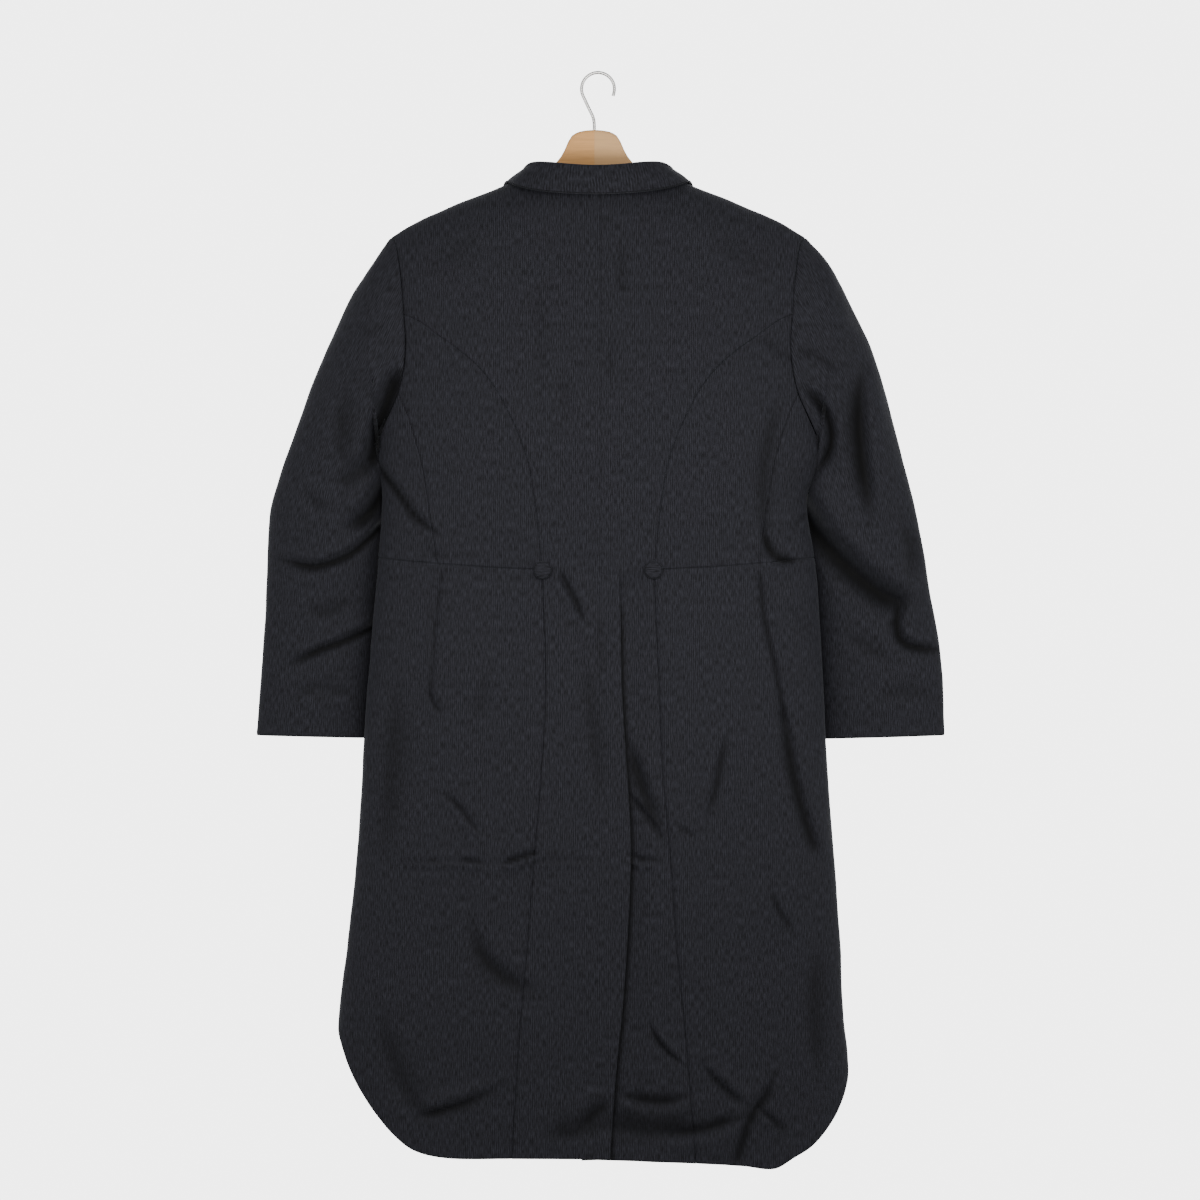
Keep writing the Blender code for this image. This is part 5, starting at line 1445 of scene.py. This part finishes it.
def cloth_material(name, shade):
    """A wool material: worsted colour and weave on the piece's own measure."""
    material = bpy.data.materials.get(name)
    if material:
        return material
    settings = cloth()
    material = bpy.data.materials.new(name)
    material.use_nodes = True
    tree = material.node_tree
    shader = tree.nodes["Principled BSDF"]
    measure = tree.nodes.new("ShaderNodeUVMap")
    weave = tree.nodes.new("ShaderNodeGroup")
    weave.node_tree = worsted_group()
    weave.inputs["Stripe"].default_value = settings.stripe
    weave.inputs["Ground"].default_value = (*[value * shade for value in settings.ground], 1)
    weave.inputs["Light"].default_value = (*[value * shade for value in settings.light], 1)
    wire(tree, measure.outputs[0], weave.inputs["Vector"])
    # The fold attribute holds the painted shade
    fold = tree.nodes.new("ShaderNodeAttribute")
    fold.attribute_name = "fold"
    wire(tree, fold.outputs["Fac"], weave.inputs["Fold"])
    wire(tree, weave.outputs["Color"], shader.inputs["Base Color"])
    wire(tree, weave.outputs["Roughness"], shader.inputs["Roughness"])
    bump = tree.nodes.new("ShaderNodeBump")
    bump.inputs["Strength"].default_value = 0.35
    bump.inputs["Distance"].default_value = 0.00025
    wire(tree, weave.outputs["Height"], bump.inputs["Height"])
    wire(tree, bump.outputs[0], shader.inputs["Normal"])
    shader.inputs["Specular IOR Level"].default_value = 0.18
    shader.inputs["Sheen Weight"].default_value = 0.06
    shader.inputs["Sheen Roughness"].default_value = 0.45
    shader.inputs["Sheen Tint"].default_value = (0.75, 0.8, 0.9, 1)
    return material


def suiting():
    return cloth_material("striped_suiting", 1.0)


def button_cloth():
    """The same worsted on the buttons, which have no measure of their own."""
    material = bpy.data.materials.get("button_worsted")
    if material:
        return material
    material = cloth_material("button_worsted", 0.95)
    tree = material.node_tree
    place = tree.nodes.new("ShaderNodeTexCoord")
    turn = tree.nodes.new("ShaderNodeMapping")
    turn.inputs["Rotation"].default_value = (PI / 2, 0, PI / 2)
    weave = next(node for node in tree.nodes if node.type == "GROUP")
    wire(tree, place.outputs["Object"], turn.inputs["Vector"])
    wire(tree, turn.outputs[0], weave.inputs["Vector"])
    return material


def wood():
    """Pale varnished wood, with its grain along the hanger."""
    colours = bpy.context.scene.tailcoat_hanger
    material = bpy.data.materials.new("wood")
    material.use_nodes = True
    tree = material.node_tree
    shader = tree.nodes["Principled BSDF"]
    place = tree.nodes.new("ShaderNodeTexCoord")
    fine = speckle(tree, scaled(tree, place.outputs["Object"], 28.0, 420.0, 420.0), 4.0)
    broad = speckle(tree, scaled(tree, place.outputs["Object"], 6.0, 90.0, 90.0), 3.0)
    rings = calculate(tree, "SINE", calculate(tree, "MULTIPLY", broad, 46.0))
    mask = calculate(tree, "MULTIPLY_ADD", rings, 0.20, calculate(tree, "MULTIPLY", fine, 0.75), clamp=True)
    colour = blend_colours(tree, mask, (*colours.wood, 1), (*colours.grain, 1))
    split = tree.nodes.new("ShaderNodeSeparateXYZ")
    wire(tree, place.outputs["Object"], split.inputs[0])
    from_joint = calculate(tree, "SUBTRACT", split.outputs[0], HANGER_MIDDLE_X)
    half = calculate(tree, "MULTIPLY", calculate(tree, "ADD", from_joint, JOINT_WIDTH), 0.5 / JOINT_WIDTH, clamp=True)
    colour = blend_colours(tree, calculate(tree, "MULTIPLY", half, 0.5), colour, (*colours.other_half, 1))
    joint = calculate(tree, "DIVIDE", calculate(tree, "ABSOLUTE", from_joint), JOINT_WIDTH)
    joint = calculate(tree, "MULTIPLY", calculate(tree, "SUBTRACT", 1.0, joint, clamp=True), 0.35)
    colour = blend_colours(tree, joint, colour, (*colours.grain, 1))
    wire(tree, colour, shader.inputs["Base Color"])
    wire(tree, calculate(tree, "MULTIPLY_ADD", fine, 0.15, 0.55), shader.inputs["Roughness"])
    shader.inputs["Specular IOR Level"].default_value = 0.2
    bump = tree.nodes.new("ShaderNodeBump")
    bump.inputs["Strength"].default_value = 0.25
    bump.inputs["Distance"].default_value = 0.0002
    wire(tree, fine, bump.inputs["Height"])
    wire(tree, bump.outputs[0], shader.inputs["Normal"])
    return material


def steel():
    """Bright drawn wire, with faint lengthwise scratches."""
    material = bpy.data.materials.new("steel")
    material.use_nodes = True
    tree = material.node_tree
    shader = tree.nodes["Principled BSDF"]
    shader.inputs["Base Color"].default_value = (*bpy.context.scene.tailcoat_hanger.wire, 1)
    shader.inputs["Metallic"].default_value = 1.0
    place = tree.nodes.new("ShaderNodeTexCoord")
    scratches = speckle(tree, scaled(tree, place.outputs["Object"], 900.0, 900.0, 300.0), 2.0)
    wire(tree, calculate(tree, "MULTIPLY_ADD", scratches, 0.22, 0.16), shader.inputs["Roughness"])
    return material


class TAILCOAT_OT_backs(bpy.types.Operator):
    """Builds the two backs with their tails"""

    bl_idname = "tailcoat.backs"
    bl_label = "Backs"

    def execute(self, context):
        for side in SIDES:
            build_back(side, suiting())
        return {"FINISHED"}


class TAILCOAT_OT_side_bodies(bpy.types.Operator):
    """Builds the side bodies"""

    bl_idname = "tailcoat.side_bodies"
    bl_label = "Side bodies"

    def execute(self, context):
        for side in SIDES:
            build_side_body(side, suiting())
        return {"FINISHED"}


class TAILCOAT_OT_foreparts(bpy.types.Operator):
    """Builds the foreparts and the lapels turned back on them"""

    bl_idname = "tailcoat.foreparts"
    bl_label = "Foreparts and lapels"

    def execute(self, context):
        for side in SIDES:
            build_forepart(side, suiting())
            build_lapel(side, suiting())
        return {"FINISHED"}


class TAILCOAT_OT_skirts(bpy.types.Operator):
    """Builds the skirts"""

    bl_idname = "tailcoat.skirts"
    bl_label = "Skirts"

    def execute(self, context):
        for side in SIDES:
            build_skirt(side, suiting())
        return {"FINISHED"}


class TAILCOAT_OT_sleeves(bpy.types.Operator):
    """Builds the top and under sleeves"""

    bl_idname = "tailcoat.sleeves"
    bl_label = "Sleeves"

    def execute(self, context):
        for side in SIDES:
            build_sleeve(side, suiting(), "top", FRONT_SEAM_TURN, 2 * PI + HIND_SEAM_TURN)
            build_sleeve(side, suiting(), "under", HIND_SEAM_TURN, FRONT_SEAM_TURN)
        return {"FINISHED"}


class TAILCOAT_OT_collar(bpy.types.Operator):
    """Builds the collar"""

    bl_idname = "tailcoat.collar"
    bl_label = "Collar"

    def execute(self, context):
        build_collar(suiting())
        return {"FINISHED"}


class TAILCOAT_OT_buttons(bpy.types.Operator):
    """Builds the covered buttons"""

    bl_idname = "tailcoat.buttons"
    bl_label = "Buttons"

    def execute(self, context):
        for name in ("waist_button_left", "waist_button_right", "front_button"):
            build_button(name, button_cloth())
        return {"FINISHED"}


class TAILCOAT_OT_hanger(bpy.types.Operator):
    """Builds the wooden hanger and its hook"""

    bl_idname = "tailcoat.hanger"
    bl_label = "Hanger and hook"

    def execute(self, context):
        build_hanger(wood())
        build_hook(steel())
        return {"FINISHED"}


def add_light(name, place, size, power, colour):
    """A soft light that points at the waist of the coat."""
    data = bpy.data.lights.new(name, "AREA")
    data.shape = "RECTANGLE"
    data.size, data.size_y = size
    data.energy = power
    data.color = colour
    light = bpy.data.objects.new(name, data)
    light.location = place
    light.rotation_euler = (Vector((0, 0, -WAIST_DROP)) - Vector(place)).to_track_quat("-Z", "Y").to_euler()
    bpy.context.scene.collection.objects.link(light)


class TAILCOAT_OT_stage(bpy.types.Operator):
    """Sets the floor, the light and the camera"""

    bl_idname = "tailcoat.stage"
    bl_label = "Stage"

    def execute(self, context):
        bm = bmesh.new()
        bmesh.ops.create_grid(bm, x_segments=1, y_segments=1, size=2.2)
        bmesh.ops.translate(bm, verts=bm.verts, vec=(0, 1.7, -FLOOR_DROP))
        mesh = bpy.data.meshes.new("floor")
        bm.to_mesh(mesh)
        bm.free()
        material = bpy.data.materials.new("floor")
        material.use_nodes = True
        shader = material.node_tree.nodes["Principled BSDF"]
        shader.inputs["Base Color"].default_value = (0.8, 0.8, 0.8, 1)
        shader.inputs["Roughness"].default_value = 0.9
        mesh.materials.append(material)
        floor = bpy.data.objects.new("floor", mesh)
        context.scene.collection.objects.link(floor)
        world = bpy.data.worlds.new("studio")
        world.use_nodes = True
        tree = world.node_tree
        place = tree.nodes.new("ShaderNodeTexCoord")
        split = tree.nodes.new("ShaderNodeSeparateXYZ")
        wire(tree, place.outputs["Generated"], split.inputs[0])
        wall = calculate(tree, "MULTIPLY_ADD", split.outputs[1], 4.0, -2.8, clamp=True)
        high = calculate(tree, "MULTIPLY_ADD", split.outputs[2], 0.8, 0.4, clamp=True)
        room = blend_colours(tree, high, (0.06, 0.06, 0.063, 1), (0.46, 0.46, 0.47, 1))
        beside = calculate(tree, "ABSOLUTE", split.outputs[0])
        beside = calculate(tree, "MULTIPLY_ADD", beside, 2.0, -1.0, clamp=True)
        room = blend_colours(tree, beside, room, (1.05, 1.05, 1.07, 1))
        bright = blend_colours(tree, wall, room, (4.5, 4.5, 4.5, 1))
        wire(tree, bright, tree.nodes["Background"].inputs["Color"])
        context.scene.world = world
        add_light("key", (0.05, -1.75, 0.30), (0.6, 0.6), 11, (1.0, 0.985, 0.97))
        add_light("front", (0.08, -1.00, -0.46), (3.0, 0.35), 19, (1.0, 0.99, 0.985))
        lens = CAMERA_DISTANCE * SENSOR / (FRAME_PIXELS * METRES_A_PIXEL)
        data = bpy.data.cameras.new("camera")
        data.sensor_width = SENSOR * 1000
        data.lens = lens * 1000
        data.clip_end = 50
        camera = bpy.data.objects.new("camera", data)
        x = (FRAME_PIXELS / 2 - ORIGIN_PIXEL[0]) * METRES_A_PIXEL
        z = (ORIGIN_PIXEL[1] - FRAME_PIXELS / 2) * METRES_A_PIXEL
        camera.location = (x, -CAMERA_DISTANCE, z)
        camera.rotation_euler = (PI / 2, 0, 0)
        context.scene.collection.objects.link(camera)
        context.scene.camera = camera
        return {"FINISHED"}


OPERATORS = (
    TAILCOAT_OT_stage,
    TAILCOAT_OT_backs,
    TAILCOAT_OT_side_bodies,
    TAILCOAT_OT_foreparts,
    TAILCOAT_OT_skirts,
    TAILCOAT_OT_sleeves,
    TAILCOAT_OT_collar,
    TAILCOAT_OT_buttons,
    TAILCOAT_OT_hanger,
)
SETTINGS = (
    ("tailcoat_cloth", ClothSettings),
    ("tailcoat_button", ButtonSettings),
    ("tailcoat_hanger", HangerSettings),
)


class TAILCOAT_PT_panel(bpy.types.Panel):
    """Lists the coat's settings and the steps that build it"""

    bl_label = "Tailcoat"
    bl_idname = "TAILCOAT_PT_panel"
    bl_space_type = "VIEW_3D"
    bl_region_type = "UI"
    bl_category = "Tailcoat"

    def draw(self, context):
        for attribute, group in SETTINGS:
            box = self.layout.box()
            for name in group.__annotations__:
                box.prop(getattr(context.scene, attribute), name)
        for operator in OPERATORS:
            self.layout.operator(operator.bl_idname)


def register():
    for attribute, group in SETTINGS:
        bpy.utils.register_class(group)
        setattr(bpy.types.Scene, attribute, bpy.props.PointerProperty(type=group))
    for operator in OPERATORS:
        bpy.utils.register_class(operator)
    bpy.utils.register_class(TAILCOAT_PT_panel)


def unregister():
    bpy.utils.unregister_class(TAILCOAT_PT_panel)
    for operator in reversed(OPERATORS):
        bpy.utils.unregister_class(operator)
    for attribute, group in reversed(SETTINGS):
        delattr(bpy.types.Scene, attribute)
        bpy.utils.unregister_class(group)


def main():
    register()
    bpy.ops.tailcoat.stage()
    bpy.ops.tailcoat.backs()
    bpy.ops.tailcoat.side_bodies()
    bpy.ops.tailcoat.foreparts()
    bpy.ops.tailcoat.skirts()
    bpy.ops.tailcoat.sleeves()
    bpy.ops.tailcoat.collar()
    bpy.ops.tailcoat.buttons()
    bpy.ops.tailcoat.hanger()


if __name__ == "__main__":
    main()
